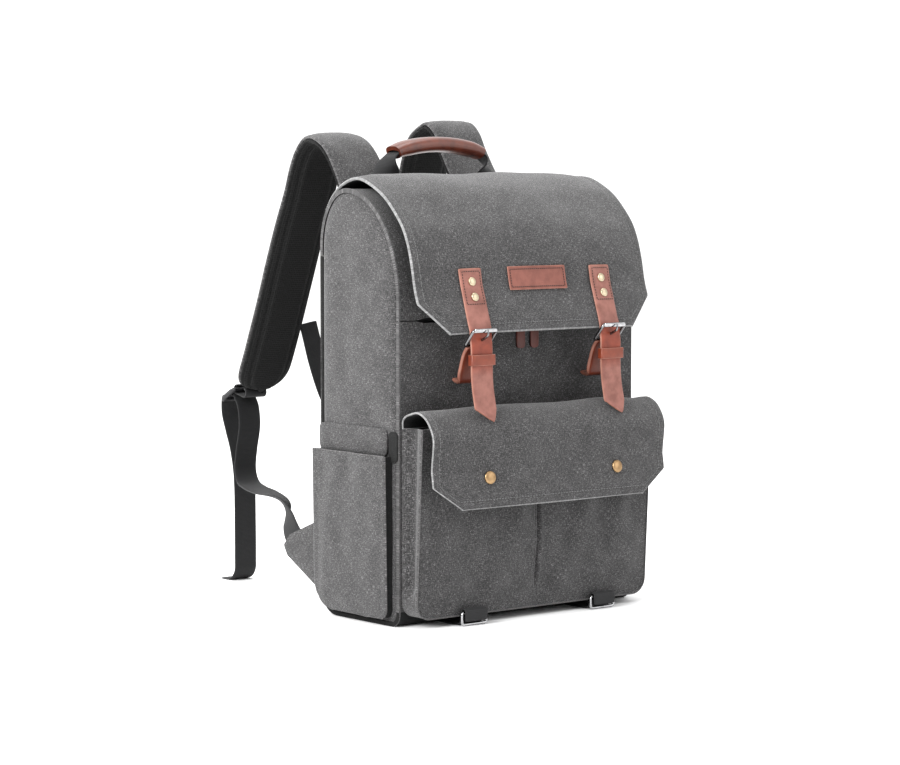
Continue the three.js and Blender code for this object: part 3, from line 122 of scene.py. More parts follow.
def resample(line, count):
    """Equal steps of arc length: s_k = k * S / (count - 1)."""
    line = np.asarray(line, float)
    run = lengths(line)
    at = np.linspace(0, run[-1], count)
    return np.stack([np.interp(at, run, line[:, k]) for k in range(line.shape[1])], 1)


def smooth(points, count):
    """Catmull-Rom: p(f) = (2b + (c-a)f + (2a-5b+4c-d)f^2 + (3b-a-3c+d)f^3) / 2, then resampled."""
    p = np.asarray(points, float)
    ends = np.vstack([2 * p[0] - p[1], p, 2 * p[-1] - p[-2]])
    t = np.linspace(0, len(p) - 1, 40 * len(p))
    i = np.minimum(t.astype(int), len(p) - 2)
    f = (t - i)[:, None]
    a, b, c, d = (ends[i + k] for k in range(4))
    bend, twist = 2 * a - 5 * b + 4 * c - d, 3 * b - a - 3 * c + d
    return resample((2 * b + (c - a) * f + bend * f**2 + twist * f**3) / 2, count)


def unit(v):
    """v / |v|."""
    return v / np.maximum(np.linalg.norm(v, axis=-1, keepdims=True), 1e-9)


def left_normals(line):
    """Unit normals on the left of a (y, z) line: n = (-dz, dy) / |d|."""
    d = np.gradient(np.asarray(line, float), axis=0)
    return unit(np.stack([-d[:, 1], d[:, 0]], 1))


def grid_normals(grid):
    """Outward unit normals: n = dP/dcolumn x dP/drow."""
    rows = np.gradient(grid, axis=0)
    cols = np.gradient(grid, axis=1)
    return unit(np.cross(cols, rows))


def band(line, half, cols, centre=0.0, rise=0.0):
    """A band along a line: P = line + rise * n, x = centre + s * half, s from -1 to 1.

    half is a number or one for each row, cols a count or the list of s, and rise a number or an
    array of rows x columns. Returns the grid, x off the centre, and arc length v, all by grid point.
    """
    line = np.asarray(line, float)
    n = left_normals(line)
    s = np.linspace(-1, 1, cols) if np.isscalar(cols) else np.asarray(cols, float)
    x = np.broadcast_to(np.asarray(half, float), (len(line),))[:, None] * s
    v = np.broadcast_to(lengths(line)[:, None], x.shape)
    lift = np.broadcast_to(rise(v, x) if callable(rise) else rise, x.shape)
    grid = np.stack([centre + x, line[:, 0, None] + n[:, 0, None] * lift,
                     line[:, 1, None] + n[:, 1, None] * lift], -1)
    return grid, x, v


def ripple(u, v, size, seed):
    """Soft unevenness over (u, v), about -1 to 1: nine waves sin(2 pi p.d / l + phase), over 3."""
    rng = np.random.default_rng(seed)
    p = np.stack([u, v, 0 * u], -1)
    total = 0.0
    for _ in range(9):
        along = p @ unit(rng.normal(size=3)) * 2 * math.pi
        total = total + np.sin(along / (size * rng.uniform(0.6, 1.6)) + rng.uniform(0, 6.3))
    return total / 3


def dent(distance, width):
    """A soft groove: exp(-(distance / width)^2)."""
    return np.exp(-(distance / width) ** 2)


def ease(x):
    """0 below 0, 1 above 1, and 3x^2 - 2x^3 between."""
    x = np.clip(x, 0, 1)
    return x * x * (3 - 2 * x)


def pick(grid, row, col):
    """Bilinear sample of a grid at fractional rows and columns."""
    row, col = np.broadcast_arrays(np.asarray(row, float), np.asarray(col, float))
    i = np.clip(row.astype(int), 0, grid.shape[0] - 2)
    j = np.clip(col.astype(int), 0, grid.shape[1] - 2)
    f, g = (row - i)[..., None], (col - j)[..., None]
    return ((grid[i, j] * (1 - g) + grid[i, j + 1] * g) * (1 - f)
            + (grid[i + 1, j] * (1 - g) + grid[i + 1, j + 1] * g) * f)


def quarter(y, z, radius, start, end, count=9):
    """An arc round (y, z) from one angle in degrees to another."""
    a = np.radians(np.linspace(start, end, count))
    return np.stack([y + radius * np.cos(a), z + radius * np.sin(a)], 1)


def rounded(width, height, radius, steps=4):
    """The outline of a rounded rectangle, anticlockwise, without its first point repeated."""
    w, h = width / 2 - radius, height / 2 - radius
    centres = ((w, h), (-w, h), (-w, -h), (w, -h))
    return np.vstack([quarter(*centre, radius, 90 * k, 90 * k + 90, steps + 1)
                      for k, centre in enumerate(centres)])


# Meshes

def mesh_object(name, points, quads, uv, slots, index=None):
    """A mesh at the origin from points in mm, quads, and UV in mm for each corner."""
    mesh = bpy.data.meshes.new(name)
    mesh.vertices.add(len(points))
    mesh.vertices.foreach_set("co", (np.asarray(points) * MM).ravel())
    mesh.loops.add(quads.size)
    mesh.loops.foreach_set("vertex_index", quads.ravel().astype(np.int32))
    mesh.polygons.add(len(quads))
    mesh.polygons.foreach_set("loop_start", np.arange(0, quads.size, 4, dtype=np.int32))
    mesh.update(calc_edges=True)
    mesh.uv_layers.new(name="cloth")
    mesh.uv_layers[0].data.foreach_set("uv", np.asarray(uv, float).ravel())
    for slot in slots:
        mesh.materials.append(slot)
    if index is not None:
        kinds = np.minimum(index, len(slots) - 1).astype(np.int32)
        mesh.polygons.foreach_set("material_index", kinds)
    mesh.polygons.foreach_set("use_smooth", np.full(len(quads), True))
    mesh.validate()
    mesh.set_sharp_from_angle(angle=math.radians(50))
    obj = bpy.data.objects.new(name, mesh)
    bpy.context.scene.collection.objects.link(obj)
    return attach(obj, "root")


def grid_quads(rows, cols):
    k = np.arange(rows * cols).reshape(rows, cols)
    return np.stack([k[:-1, :-1], k[:-1, 1:], k[1:, 1:], k[1:, :-1]], -1).reshape(-1, 4)


def sheet(name, grid, thick, slots, round_rim=0.5):
    """A closed sheet: face grid, lining = face - thick * n, and a rounded rim between the two.

    Slots are the materials of the face, the rim and the lining. The rim stands out by
    round_rim * thick. UV is the arc length along the middle row and column.
    """
    rows, cols = grid.shape[:2]
    thick = np.broadcast_to(np.asarray(thick, float), (rows, cols))[..., None]
    lining = grid - grid_normals(grid) * thick
    k = np.arange(rows * cols).reshape(rows, cols)
    loop = np.concatenate([k[0, :-1], k[:-1, -1], k[-1, :0:-1], k[:0:-1, 0]])
    i, j = np.divmod(loop, cols)
    inner = np.clip(i, 1, rows - 2) * cols + np.clip(j, 1, cols - 2)
    face, back = grid.reshape(-1, 3), lining.reshape(-1, 3)
    out = unit(face[loop] - face[inner])
    reach = thick.reshape(-1, 1)[loop] * round_rim
    levels = [face[loop] * (1 - a) + back[loop] * a + out * reach * b
              for a, b in ((0.15, 0.6), (0.5, 1.0), (0.85, 0.6))]
    points = np.concatenate([face, back, *levels])
    far, n = rows * cols, len(loop)
    rings = [loop, *[2 * far + m * n + np.arange(n) for m in range(3)], loop + far]
    rim = np.concatenate([np.stack([a, b, np.roll(b, -1), np.roll(a, -1)], 1)
                          for a, b in zip(rings, rings[1:])])
    front = grid_quads(rows, cols)
    quads = np.concatenate([front, front[:, ::-1] + far, rim])
    u, v = lengths(grid[rows // 2]), lengths(grid[:, cols // 2])
    flat = np.stack(np.broadcast_arrays(u[None, :] - u[-1] / 2, v[:, None]), -1).reshape(-1, 2)
    every = np.concatenate([flat, flat, flat[loop], flat[loop], flat[loop]])
    kinds = np.concatenate([np.zeros(len(front)), np.full(len(front), 2), np.ones(len(rim))])
    return mesh_object(name, points, quads, every[quads], slots, kinds)


def sweep(name, rings, slots, closed=False, uv=None, index=None):
    """Rings x sides x 3 joined into a closed skin, whose end rings are covered by strips of quads.

    closed joins the last ring to the first. uv is given by ring and side, or taken as arc lengths.
    """
    rows, sides = rings.shape[:2]
    k = np.arange(rows * sides).reshape(rows, sides)
    nxt = np.roll(k, -1, axis=1)
    a, b = (k, np.roll(k, -1, axis=0)) if closed else (k[:-1], k[1:])
    c, d = (nxt, np.roll(nxt, -1, axis=0)) if closed else (nxt[:-1], nxt[1:])
    quads = np.stack([a, c, d, b], -1).reshape(-1, 4)
    if uv is None:
        v = np.concatenate([lengths(rings.mean(axis=1)), [0]])
        u = np.concatenate([[0], np.cumsum(np.linalg.norm(
            np.roll(rings[rows // 2], -1, axis=0) - rings[rows // 2], axis=1))])
        i, j = np.divmod(quads[:, 0], sides)
        corners = [(j, i), (j + 1, i), (j + 1, i + 1), (j, i + 1)]
        loops = np.stack([np.stack([u[p], v[q]], -1) for p, q in corners], 1)
    else:
        loops = uv.reshape(-1, 2)[quads]
    kinds = np.zeros(len(quads)) if index is None else np.repeat(index, sides)
    if not closed:
        m = np.arange(sides // 2 - 1)
        lid = np.stack([m, m + 1, sides - 2 - m, sides - 1 - m], 1)
        lids = np.concatenate([lid[:, ::-1], lid + (rows - 1) * sides])
        flat = uv.reshape(-1, 2) if uv is not None else rings.reshape(-1, 3)[:, :2]
        loops = np.concatenate([loops, flat[lids]])
        quads = np.concatenate([quads, lids])
        kinds = np.concatenate([kinds, np.full(len(lid), kinds[0]), np.full(len(lid), kinds[-1])])
    return mesh_object(name, rings.reshape(-1, 3), quads, loops, slots, kinds)


def cord_rings(path, radius, sides=8, up=(0, 0, 1), closed=False):
    """Rings round a 3-D path: p + r (cos a * s + sin a * n), with s = up x along."""
    path = np.asarray(path, float)
    if closed:
        along = unit(np.roll(path, -1, axis=0) - np.roll(path, 1, axis=0))
    else:
        along = unit(np.gradient(path, axis=0))
    up = np.broadcast_to(np.asarray(up, float), path.shape)
    side = unit(np.cross(up, along))
    lift = np.cross(along, side)
    a = np.linspace(0, 2 * math.pi, sides, endpoint=False)
    r = np.broadcast_to(np.asarray(radius, float), (len(path),))[:, None, None]
    return path[:, None] + r * (np.cos(a)[:, None] * side[:, None] + np.sin(a)[:, None] * lift[:, None])


def ribbon_grid(path, side, half, cols=7):
    """A ribbon along a 3-D path: P = p + s * half * side, s from -1 to 1."""
    s = np.linspace(-1, 1, cols)
    half = np.broadcast_to(np.asarray(half, float), (len(path),))
    return path[:, None] + (half[:, None] * s)[..., None] * side[:, None]


def stitches(name, runs, slot, pitch=3.2, length=2.2, radius=0.38):
    """Short threads along runs of (points, normals): capsules of 4 rings x 6 sides, as one mesh."""
    centres, ways, ups = [], [], []
    for points, normals in runs:
        count = max(2, int(lengths(points)[-1] / pitch))
        ends = resample(np.hstack([points, normals]), 2 * count + 1)
        centres.append(ends[1::2, :3])
        ways.append(unit(ends[2::2, :3] - ends[:-1:2, :3]))
        ups.append(unit(ends[1::2, 3:]))
    c, d, n = (np.concatenate(x) for x in (centres, ways, ups))
    s = np.cross(d, n)
    a = np.linspace(0, 2 * math.pi, 6, endpoint=False)
    along = np.array([-0.5, -0.34, 0.34, 0.5]) * length
    wide = np.array([0.35, 1.0, 1.0, 0.35]) * radius
    wide = wide[:, None]
    shape = np.stack(np.broadcast_arrays(along[:, None], wide * np.cos(a), wide * np.sin(a)), -1)
    shape = shape.reshape(-1, 3)
    points = (c[:, None] + d[:, None] * shape[:, 0, None] + s[:, None] * shape[:, 1, None]
              + n[:, None] * shape[:, 2, None])
    k = np.arange(24).reshape(4, 6)
    nxt = np.roll(k, -1, axis=1)
    wall = np.stack([k[:-1], nxt[:-1], nxt[1:], k[1:]], -1).reshape(-1, 4)
    lid = np.array([[0, 1, 4, 5], [1, 2, 3, 4]])
    one = np.concatenate([wall[:, ::-1], lid, lid[:, ::-1] + 18])
    quads = (np.arange(len(c))[:, None, None] * 24 + one[None]).reshape(-1, 4)
    uv = np.zeros((len(quads), 4, 2))
    return mesh_object(name, points.reshape(-1, 3), quads, uv, [slot])


def box(half, low, high):
    """A closed path of stitches round a rectangle."""
    return [(-half, low), (half, low), (half, high), (-half, high), (-half, low)]


def trace(grid, x, v, path, lift=0.0):
    """Points and normals on a band's grid under a path of (x, v) in mm."""
    path = np.asarray(path, float)
    path = resample(path, max(8, int(lengths(path)[-1] / 1.5)))
    row = np.interp(path[:, 1], v[:, 0], np.arange(len(v)))
    half = np.interp(row, np.arange(len(x)), x[:, -1])
    share = np.clip(path[:, 0] / half, -1, 1)
    col = np.interp(share, x[-1] / x[-1, -1], np.arange(x.shape[1]))
    normals = pick(grid_normals(grid), row, col)
    return pick(grid, row, col) + normals * lift, normals


# Shader helpers

def add(tree, kind, inputs=(), **settings):
    """A node with its settings; inputs maps a socket's name or number to a value or an output."""
    node = tree.nodes.new(kind)
    for key, value in settings.items():
        setattr(node, key, value)
    for key, value in dict(inputs).items():
        if isinstance(value, bpy.types.NodeSocket):
            tree.links.new(value, node.inputs[key])
        else:
            node.inputs[key].default_value = value
    return node


def noise(tree, vector, scale, detail):
    return add(tree, "ShaderNodeTexNoise", {"Vector": vector, "Scale": scale, "Detail": detail}).outputs[0]


def calc(tree, operation, a, b=0.0):
    return add(tree, "ShaderNodeMath", {0: a, 1: b}, operation=operation).outputs[0]


def stretch(tree, vector, scale):
    return add(tree, "ShaderNodeVectorMath", {0: vector, 1: scale}, operation="MULTIPLY").outputs[0]


def ramp(tree, value, stops):
    """A colour ramp through (place, colour) stops."""
    node = add(tree, "ShaderNodeValToRGB", {0: value})
    points = node.color_ramp.elements
    while len(points) < len(stops):
        points.new(0.5)
    for point, (place, colour) in zip(points, stops):
        point.position = place
        point.color = (*colour, 1)
    return node.outputs[0]


def blend(tree, factor, a, b, kind="MIX"):
    node = add(tree, "ShaderNodeMix", data_type="RGBA", blend_type=kind)
    for key, value in ((0, factor), (6, a), (7, b)):
        if isinstance(value, bpy.types.NodeSocket):
            tree.links.new(value, node.inputs[key])
        else:
            node.inputs[key].default_value = value if key == 0 else (*value, 1)
    return node.outputs[2]


def group(name, outputs):
    """An empty node group that takes a vector and gives the named values."""
    tree = bpy.data.node_groups.new(name, "ShaderNodeTree")
    tree.interface.new_socket("Vector", in_out="INPUT", socket_type="NodeSocketVector")
    for output in outputs:
        tree.interface.new_socket(output, in_out="OUTPUT", socket_type="NodeSocketFloat")
    start = tree.nodes.new("NodeGroupInput").outputs[0]
    return tree, start, tree.nodes.new("NodeGroupOutput")


def weave_group():
    """Plain weave: height |sin u * sin v|, and flecks from noise drawn out along either thread."""
    tree, start, end = group("plain_weave", ["Height", "Fleck", "Cloud"])
    part = add(tree, "ShaderNodeSeparateXYZ", {0: start})
    waves = [calc(tree, "SINE", calc(tree, "MULTIPLY", part.outputs[k], math.pi)) for k in (0, 1)]
    over = calc(tree, "MULTIPLY", waves[0], waves[1])
    height = calc(tree, "POWER", calc(tree, "ABSOLUTE", over), 0.5)
    warp = noise(tree, stretch(tree, start, (1.3, 0.3, 1)), 1.0, 3.0)
    weft = noise(tree, stretch(tree, start, (0.3, 1.3, 1)), 1.0, 3.0)
    turn = calc(tree, "GREATER_THAN", over, 0.0)
    fleck = add(tree, "ShaderNodeMix", {0: turn, 2: weft, 3: warp}).outputs[0]
    cloud = noise(tree, start, 0.06, 3.0)
    for name, value in (("Height", height), ("Fleck", fleck), ("Cloud", cloud)):
        tree.links.new(value, end.inputs[name])
    return tree


def rib_group():
    """Webbing: cross ribs sin v with a fine twill across them."""
    tree, start, end = group("webbing_rib", ["Height"])
    part = add(tree, "ShaderNodeSeparateXYZ", {0: start})
    rib = calc(tree, "ABSOLUTE", calc(tree, "SINE", calc(tree, "MULTIPLY", part.outputs[1], math.pi)))
    slant = calc(tree, "ADD", part.outputs[0], calc(tree, "MULTIPLY", part.outputs[1], 0.5))
    twill = calc(tree, "ABSOLUTE", calc(tree, "SINE", calc(tree, "MULTIPLY", slant, math.pi)))
    total = calc(tree, "ADD", rib, calc(tree, "MULTIPLY", twill, 0.5))
    tree.links.new(total, end.inputs["Height"])
    return tree


def surface(name, roughness, metallic=0.0, sheen=0.0, coat=0.0):
    """A material with a Principled shader whose plain numbers are set on it."""
    material = bpy.data.materials.new(name)
    material.use_nodes = True
    tree = material.node_tree
    shader = tree.nodes["Principled BSDF"]
    shader.inputs["Roughness"].default_value = roughness
    shader.inputs["Metallic"].default_value = metallic
    shader.inputs["Sheen Weight"].default_value = sheen
    shader.inputs["Coat Weight"].default_value = coat
    shader.inputs["Coat Roughness"].default_value = 0.35
    return material, tree, shader


def paint(tree, shader, colour):
    tree.links.new(colour, shader.inputs["Base Color"])


def tinted(colour, share):
    return tuple(share * c for c in colour)


def cloth_vector(tree, pitch):
    """The piece's own UV, in threads of a pitch in mm."""
    uv = add(tree, "ShaderNodeUVMap", uv_map="cloth").outputs[0]
    return stretch(tree, uv, (1 / pitch, 1 / pitch, 0))


def bump(tree, shader, height, strength, distance):
    node = add(tree, "ShaderNodeBump", {"Height": height, "Strength": strength, "Distance": distance * MM})
    tree.links.new(node.outputs[0], shader.inputs["Normal"])


THREAD_PITCH, RIB_PITCH, MESH_PITCH = 1.0, 1.3, 2.2
WEAVE = weave_group()
RIB = rib_group()


def canvas(name, dark, mid, pale, worn=0.0, sheen=0.25):
    """Heathered canvas: dark and pale threads scattered in the weave, clouded over wide areas, with painted
    shade between the threads.
    """
    material, tree, shader = surface(name, 0.92, sheen=sheen)
    weave = add(tree, "ShaderNodeGroup", {0: cloth_vector(tree, THREAD_PITCH)}, node_tree=WEAVE)
    colour = ramp(tree, weave.outputs["Fleck"], ((0.36, dark), (0.48, mid), (0.54, mid), (0.66, pale)))
    # Painted shade: the colour darkens where the weave is low, between the threads.
    groove_shade = ramp(tree, weave.outputs["Height"], ((0.0, (0.55, 0.55, 0.55)), (0.6, (1, 1, 1))))
    colour = blend(tree, 0.75, colour, groove_shade, "MULTIPLY")
    clouds = ramp(tree, weave.outputs["Cloud"], ((0.32, (0.72, 0.72, 0.72)), (0.68, (1.25, 1.25, 1.25))))
    colour = blend(tree, 0.8, colour, clouds, "MULTIPLY")
    if worn:
        colour = blend(tree, worn, colour, pale)
    paint(tree, shader, colour)
    bump(tree, shader, weave.outputs["Height"], 0.55, 0.35)
    return material


def grained(name, colour, deep, roughness=0.5, coat=0.15, shade_stops=None):
    """Leather: fine pores, soft mottling and a satin finish.

    Stops of (mm along the piece, colour) multiply the colour: painted shade along a strap.
    """
    material, tree, shader = surface(name, roughness, coat=coat)
    where = add(tree, "ShaderNodeTexCoord").outputs["Object"]
    mottle = add(tree, "ShaderNodeTexNoise", {
        "Vector": where, "Scale": 90.0, "Detail": 5.0, "Roughness": 0.6}).outputs[0]
    pores = add(tree, "ShaderNodeTexVoronoi", {"Vector": where, "Scale": 900.0})
    tone = ramp(tree, mottle, ((0.3, deep), (0.62, colour)))
    if shade_stops:
        length = shade_stops[-1][0]
        along = add(tree, "ShaderNodeSeparateXYZ", {0: cloth_vector(tree, length)}).outputs[1]
        painted_shade = ramp(tree, along, [(mm / length, colour) for mm, colour in shade_stops])
        tone = blend(tree, 1.0, tone, painted_shade, "MULTIPLY")
    paint(tree, shader, tone)
    height = calc(tree, "ADD", calc(tree, "MULTIPLY", pores.outputs[0], 0.7), mottle)
    bump(tree, shader, height, 0.25, 0.3)
    return material


def woven_web(name, colour, sheen):
    material, tree, shader = surface(name, 0.7, sheen=sheen)
    rib = add(tree, "ShaderNodeGroup", {0: cloth_vector(tree, RIB_PITCH)}, node_tree=RIB).outputs[0]
    # Painted shade: the webbing darkens to 45% of its colour in the troughs between its ribs.
    paint(tree, shader, ramp(tree, rib, ((0.1, tinted(colour, 0.45)), (1.0, colour))))
    bump(tree, shader, rib, 0.6, 0.3)
    return material


def spacer_mesh(name):
    """Black knitted mesh: rows of small open cells over foam, with painted shade darkening each cell's hole.
    """
    material, tree, shader = surface(name, 0.95, sheen=0.03)
    cells = add(tree, "ShaderNodeTexVoronoi", {
        "Vector": cloth_vector(tree, MESH_PITCH), "Scale": 1.0, "Randomness": 0.25}).outputs[0]
    # Painted shade: each cell darkens towards its open middle, down in the hole.
    paint(tree, shader, ramp(tree, cells, ((0.18, (0.0012, 0.0012, 0.0012)), (0.5, (0.012, 0.012, 0.012)))))
    bump(tree, shader, cells, 0.8, 0.6)
    return material


def mottled(name, stops, roughness, scale, detail, relief=0.0, **finish):
    """A finish whose colour runs through the stops, and whose low relief rises, with fine noise."""
    material, tree, shader = surface(name, roughness, **finish)
    grain = noise(tree, add(tree, "ShaderNodeTexCoord").outputs["Object"], scale, detail)
    paint(tree, shader, ramp(tree, grain, stops))
    if relief:
        bump(tree, shader, grain, relief, 0.1)
    return material


def metal(name, colour, roughness):
    stops = ((0.3, tinted(colour, 0.72)), (0.65, colour))
    return mottled(name, stops, roughness, 260.0, 3.0, relief=0.08, metallic=1.0)


def moulded(name, colour):
    return mottled(name, ((0.35, colour), (0.75, tinted(colour, 1.7))), 0.42, 1500.0, 2.0, relief=0.15)


def thread(name, colour):
    return mottled(name, ((0.3, colour), (0.7, tinted(colour, 1.5))), 0.8, 700.0, 1.0, sheen=0.2)


CANVAS = canvas("grey_canvas", (0.009, 0.0085, 0.0088), (0.043, 0.0415, 0.0422), (0.170, 0.166, 0.167))
CANVAS_EDGE = canvas("worn_canvas_edge", (0.07, 0.07, 0.07), (0.17, 0.17, 0.17), (0.34, 0.34, 0.34),
                     worn=0.25)
PIPING = canvas("canvas_piping", (0.015, 0.0145, 0.0147), (0.062, 0.060, 0.0605), (0.18, 0.176, 0.177),
                worn=0.1)
BLACK_CANVAS = canvas("black_canvas", (0.003, 0.003, 0.003), (0.007, 0.007, 0.007), (0.018, 0.018, 0.018),
                      sheen=0.02)
# The second colour is painted shade. It is multiplied into the strap leather between its keeper and its
# buckle, 44 to 90 mm up from its tip. The first colour leaves the leather as it is.
PALE, BUCKLE_SHADE = (1.0, 1.0, 1.0), (0.88, 0.40, 0.22)
STRAP_LEATHER = grained("strap_leather", (0.250, 0.105, 0.082), (0.160, 0.058, 0.042), shade_stops=(
    (0, PALE), (44, PALE), (56, BUCKLE_SHADE), (83, BUCKLE_SHADE), (90, PALE), (140, PALE)))
PLAIN_LEATHER = grained("plain_leather", (0.200, 0.068, 0.048), (0.140, 0.042, 0.028))
# A darker copy of the strap leather: painted shade, for the keepers and anchor straps that hang in shadow
# under the buckles.
SHADED_LEATHER = grained("shaded_leather", (0.190, 0.040, 0.017), (0.125, 0.024, 0.010), 0.4)
DARK_LEATHER = grained("dark_leather", (0.085, 0.018, 0.011), (0.055, 0.012, 0.008), 0.5)
LEATHER_EDGE = grained("leather_edge", (0.28, 0.125, 0.09), (0.20, 0.08, 0.055), 0.6)
GRIP_LEATHER = grained("grip_leather", (0.125, 0.029, 0.013), (0.060, 0.013, 0.007), 0.3, 0.5)
WEBBING = woven_web("black_webbing", (0.0135, 0.0135, 0.0145), 0.05)
MESH = spacer_mesh("spacer_mesh")
BRASS = metal("antique_brass", (0.40, 0.27, 0.15), 0.3)
PALE_BRASS = metal("pale_brass", (0.58, 0.50, 0.36), 0.28)
STEEL = metal("dark_nickel", (0.24, 0.24, 0.245), 0.24)
BRIGHT_STEEL = metal("bright_nickel", (0.50, 0.50, 0.51), 0.18)
PLASTIC = moulded("black_plastic", (0.012, 0.012, 0.013))
GREY_THREAD = thread("grey_thread", (0.10, 0.10, 0.10))
BROWN_THREAD = thread("brown_thread", (0.028, 0.010, 0.007))


def canvas_piece(obj, node=None):
    """Hides the model's node that a piece stands in for, if one is given, and returns the piece."""
    if node:
        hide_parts(node)
    return obj


# Body

def arch(turn):
    """Outer face of the top: y = CROWN_Y + depth cos a, z = spring + rise sin a, and its normal."""
    a = np.radians(turn)
    front = np.asarray(turn) > 90
    depth = np.where(front, CROWN_Y - FRONT, BACK - CROWN_Y)
    rise = np.where(front, FRONT_RISE, BACK_RISE)
    p = np.stack([CROWN_Y + depth * np.cos(a), HEIGHT - rise + rise * np.sin(a)], -1)
    return p, unit(np.stack([np.cos(a) / depth, np.sin(a) / rise], -1))


BASE_LINE = np.vstack([
    (BACK, BACK_CORNER + BASE_LIP),
    quarter(BACK - BACK_CORNER, BACK_CORNER, BACK_CORNER, 0, -90),
    quarter(FRONT + FRONT_CORNER, FRONT_CORNER, FRONT_CORNER, -90, -180),
    (FRONT, FRONT_CORNER + BASE_LIP)])


def closed_normals(outline):
    """Unit normals on the left of a closed (y, z) outline."""
    d = np.roll(outline, -1, axis=0) - np.roll(outline, 1, axis=0)
    return unit(np.stack([-d[:, 1], d[:, 0]], 1))


def pan(name, side, out, outline, crown, thick, slots, at=(0, 0)):
    """A panel on the bag's side at x = side * out, inside a closed (y, z) outline moved to at.

    Ring k is middle + r_k (outline - middle), and it stands out by crown(y, z, r).
    """
    def place(face, depth):
        return np.stack([side * (out + depth), at[0] + face[..., 0], at[1] + face[..., 1]], -1)

    outline = outline if side > 0 else outline[::-1]
    middle = outline.mean(axis=0)
    rings = 22
    r = np.sin(np.linspace(0.03, 1, rings) * math.pi / 2)
    face = middle + r[:, None, None] * (outline - middle)
    depth = crown(face[..., 0], face[..., 1], np.broadcast_to(r[:, None], face.shape[:2]))
    skin = np.concatenate([place(face, np.full(face.shape[:2], -thick)), place(face, depth)[::-1]])
    uv = np.concatenate([face, face[::-1]])
    kinds = np.concatenate([np.full(rings - 1, 2), [1], np.zeros(rings - 1)])
    return sweep(name, skin, slots, uv=uv, index=kinds)


def body():
    """Cloth panels with the zip's slit, the padded back and the piped, slightly puffed sides."""
    x = np.linspace(-1, 1, 90)
    half = WIDTH / 2

    def meet(grid, way):
        """Brings a panel's edge to the zip's middle past the ends of the slit, over its last 12 mm."""
        past = ease((np.abs(grid[..., 0]) - SLIT_HALF) / SLIT_TAPER)
        near = ease(1 - np.abs(grid[..., 2] - ZIP_HEIGHT) / 12) * (grid[..., 1] < 0)
        grid[..., 2] += way * (ZIP_SLIT / 2 - GAP / 2) * past * near
        return grid

    edge_slots = [CANVAS, PIPING, BLACK_CANVAS]

    line = resample([(FRONT, FRONT_CORNER + BASE_LIP + GAP), (FRONT, ZIP_HEIGHT - ZIP_SLIT / 2)], 80)
    grid, _, _ = band(line, half, x)
    obj = sheet("front_panel_cloth", meet(grid, 1), WALL, edge_slots, round_rim=0.0)
    canvas_piece(obj, "front_panel")

    ends = (FRONT, ZIP_HEIGHT + ZIP_SLIT / 2), (BACK, BACK_PANEL_TOP + GAP)
    line = resample(np.vstack([ends[0], arch(np.linspace(180, 0, 110))[0], ends[1]]), 130)
    grid, _, _ = band(line, half, x, rise=lambda v, u: 0.6 * ripple(u, v, 70, 3) * (1 - (u / half) ** 8))
    obj = sheet("top_panel_cloth", meet(grid, -1), WALL, edge_slots, round_rim=0.0)
    canvas_piece(obj, "top_panel")

    grid, _, _ = band(resample(BASE_LINE, 60), half, x)
    obj = sheet("base_panel_cloth", grid, WALL, [BLACK_CANVAS], round_rim=0.0)
    canvas_piece(obj, "base_panel")

    line = resample([(BACK, BACK_PANEL_TOP), (BACK, BACK_CORNER + BASE_LIP + GAP)], 110)
    length = lengths(line)[-1]

    def padding(v, u):
        """The back pad: crown * edges, less the channels sewn at a third and two thirds."""
        t = v / length
        swell = BACK_PAD * (1 - (u / half) ** 4) * (1 - (2 * t - 1) ** 6)
        channels = dent(t * length - length / 3, 5) + dent(t * length - 2 * length / 3, 5) + dent(u, 5)
        return swell * (1 - 0.75 * np.minimum(channels, 1))

    grid, _, _ = band(line, half, x, rise=padding)
    obj = sheet("back_pad", grid, WALL, [MESH, BLACK_CANVAS], round_rim=0.0)
    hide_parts("back_panel")

    rim = np.vstack([arch(np.linspace(180, 0, 90))[0], BASE_LINE])
    closed = resample(np.vstack([rim, rim[:1]]), 241)[:-1]
    outline = closed - closed_normals(closed) * (WALL + GAP)
    for side, name in SIDES:
        def crown(y, z, r, side=side):
            puff = 3.0 * (1 - r ** 5) * ease((z - 170) / 60)
            return -1.2 * r ** 30 + puff + 0.9 * ripple(y, z, 60, 5 + side) * (1 - r ** 6)

        obj = pan(f"side_panel_cloth_{name}", side, half, outline, crown, WALL, edge_slots)
        canvas_piece(obj, f"side_panel_{name}")
        rim = closed - closed_normals(closed) * 0.6
        rope = np.stack([np.full(len(rim), side * (half - 1.0)), *rim.T], 1)
        rings = cord_rings(rope, 1.0, 8, up=(1, 0, 0), closed=True)
        sweep(f"side_piping_{name}", rings, [PIPING], closed=True)


body()


# Flap, as a line from its lower edge up and over to its seam behind the crown

FLAP_ROUTE = (
    # turn in degrees, share of FLAP_STAND
    (38, 0), (56, 0.01), (77, 0.1), (94, 0.31), (103, 0.43), (116, 0.49),
    (128, 0.6), (143, 0.75), (153, 0.79), (163, 0.78), (173, 0.82), (180, 1),
)


def flap_line():
    """The flap's middle, from its lip up and over to its seam, in 130 even steps."""
    turn, stand = np.array(FLAP_ROUTE, float).T
    p, n = arch(turn)
    seat = FLAP_THICK + GAP
    route = p + n * (seat + stand * (FLAP_STAND - seat))[:, None]
    lip = (FRONT - FLAP_LIP_STAND, FRONT_SPRING - FLAP_DROP)
    return smooth(np.vstack([route, lip]), 130)[::-1]


FLAP_LINE = flap_line()
FLAP_V = lengths(FLAP_LINE)
FLAP_CUT = float(np.interp(FRONT_SPRING, FLAP_LINE[:40, 1], FLAP_V[:40]))


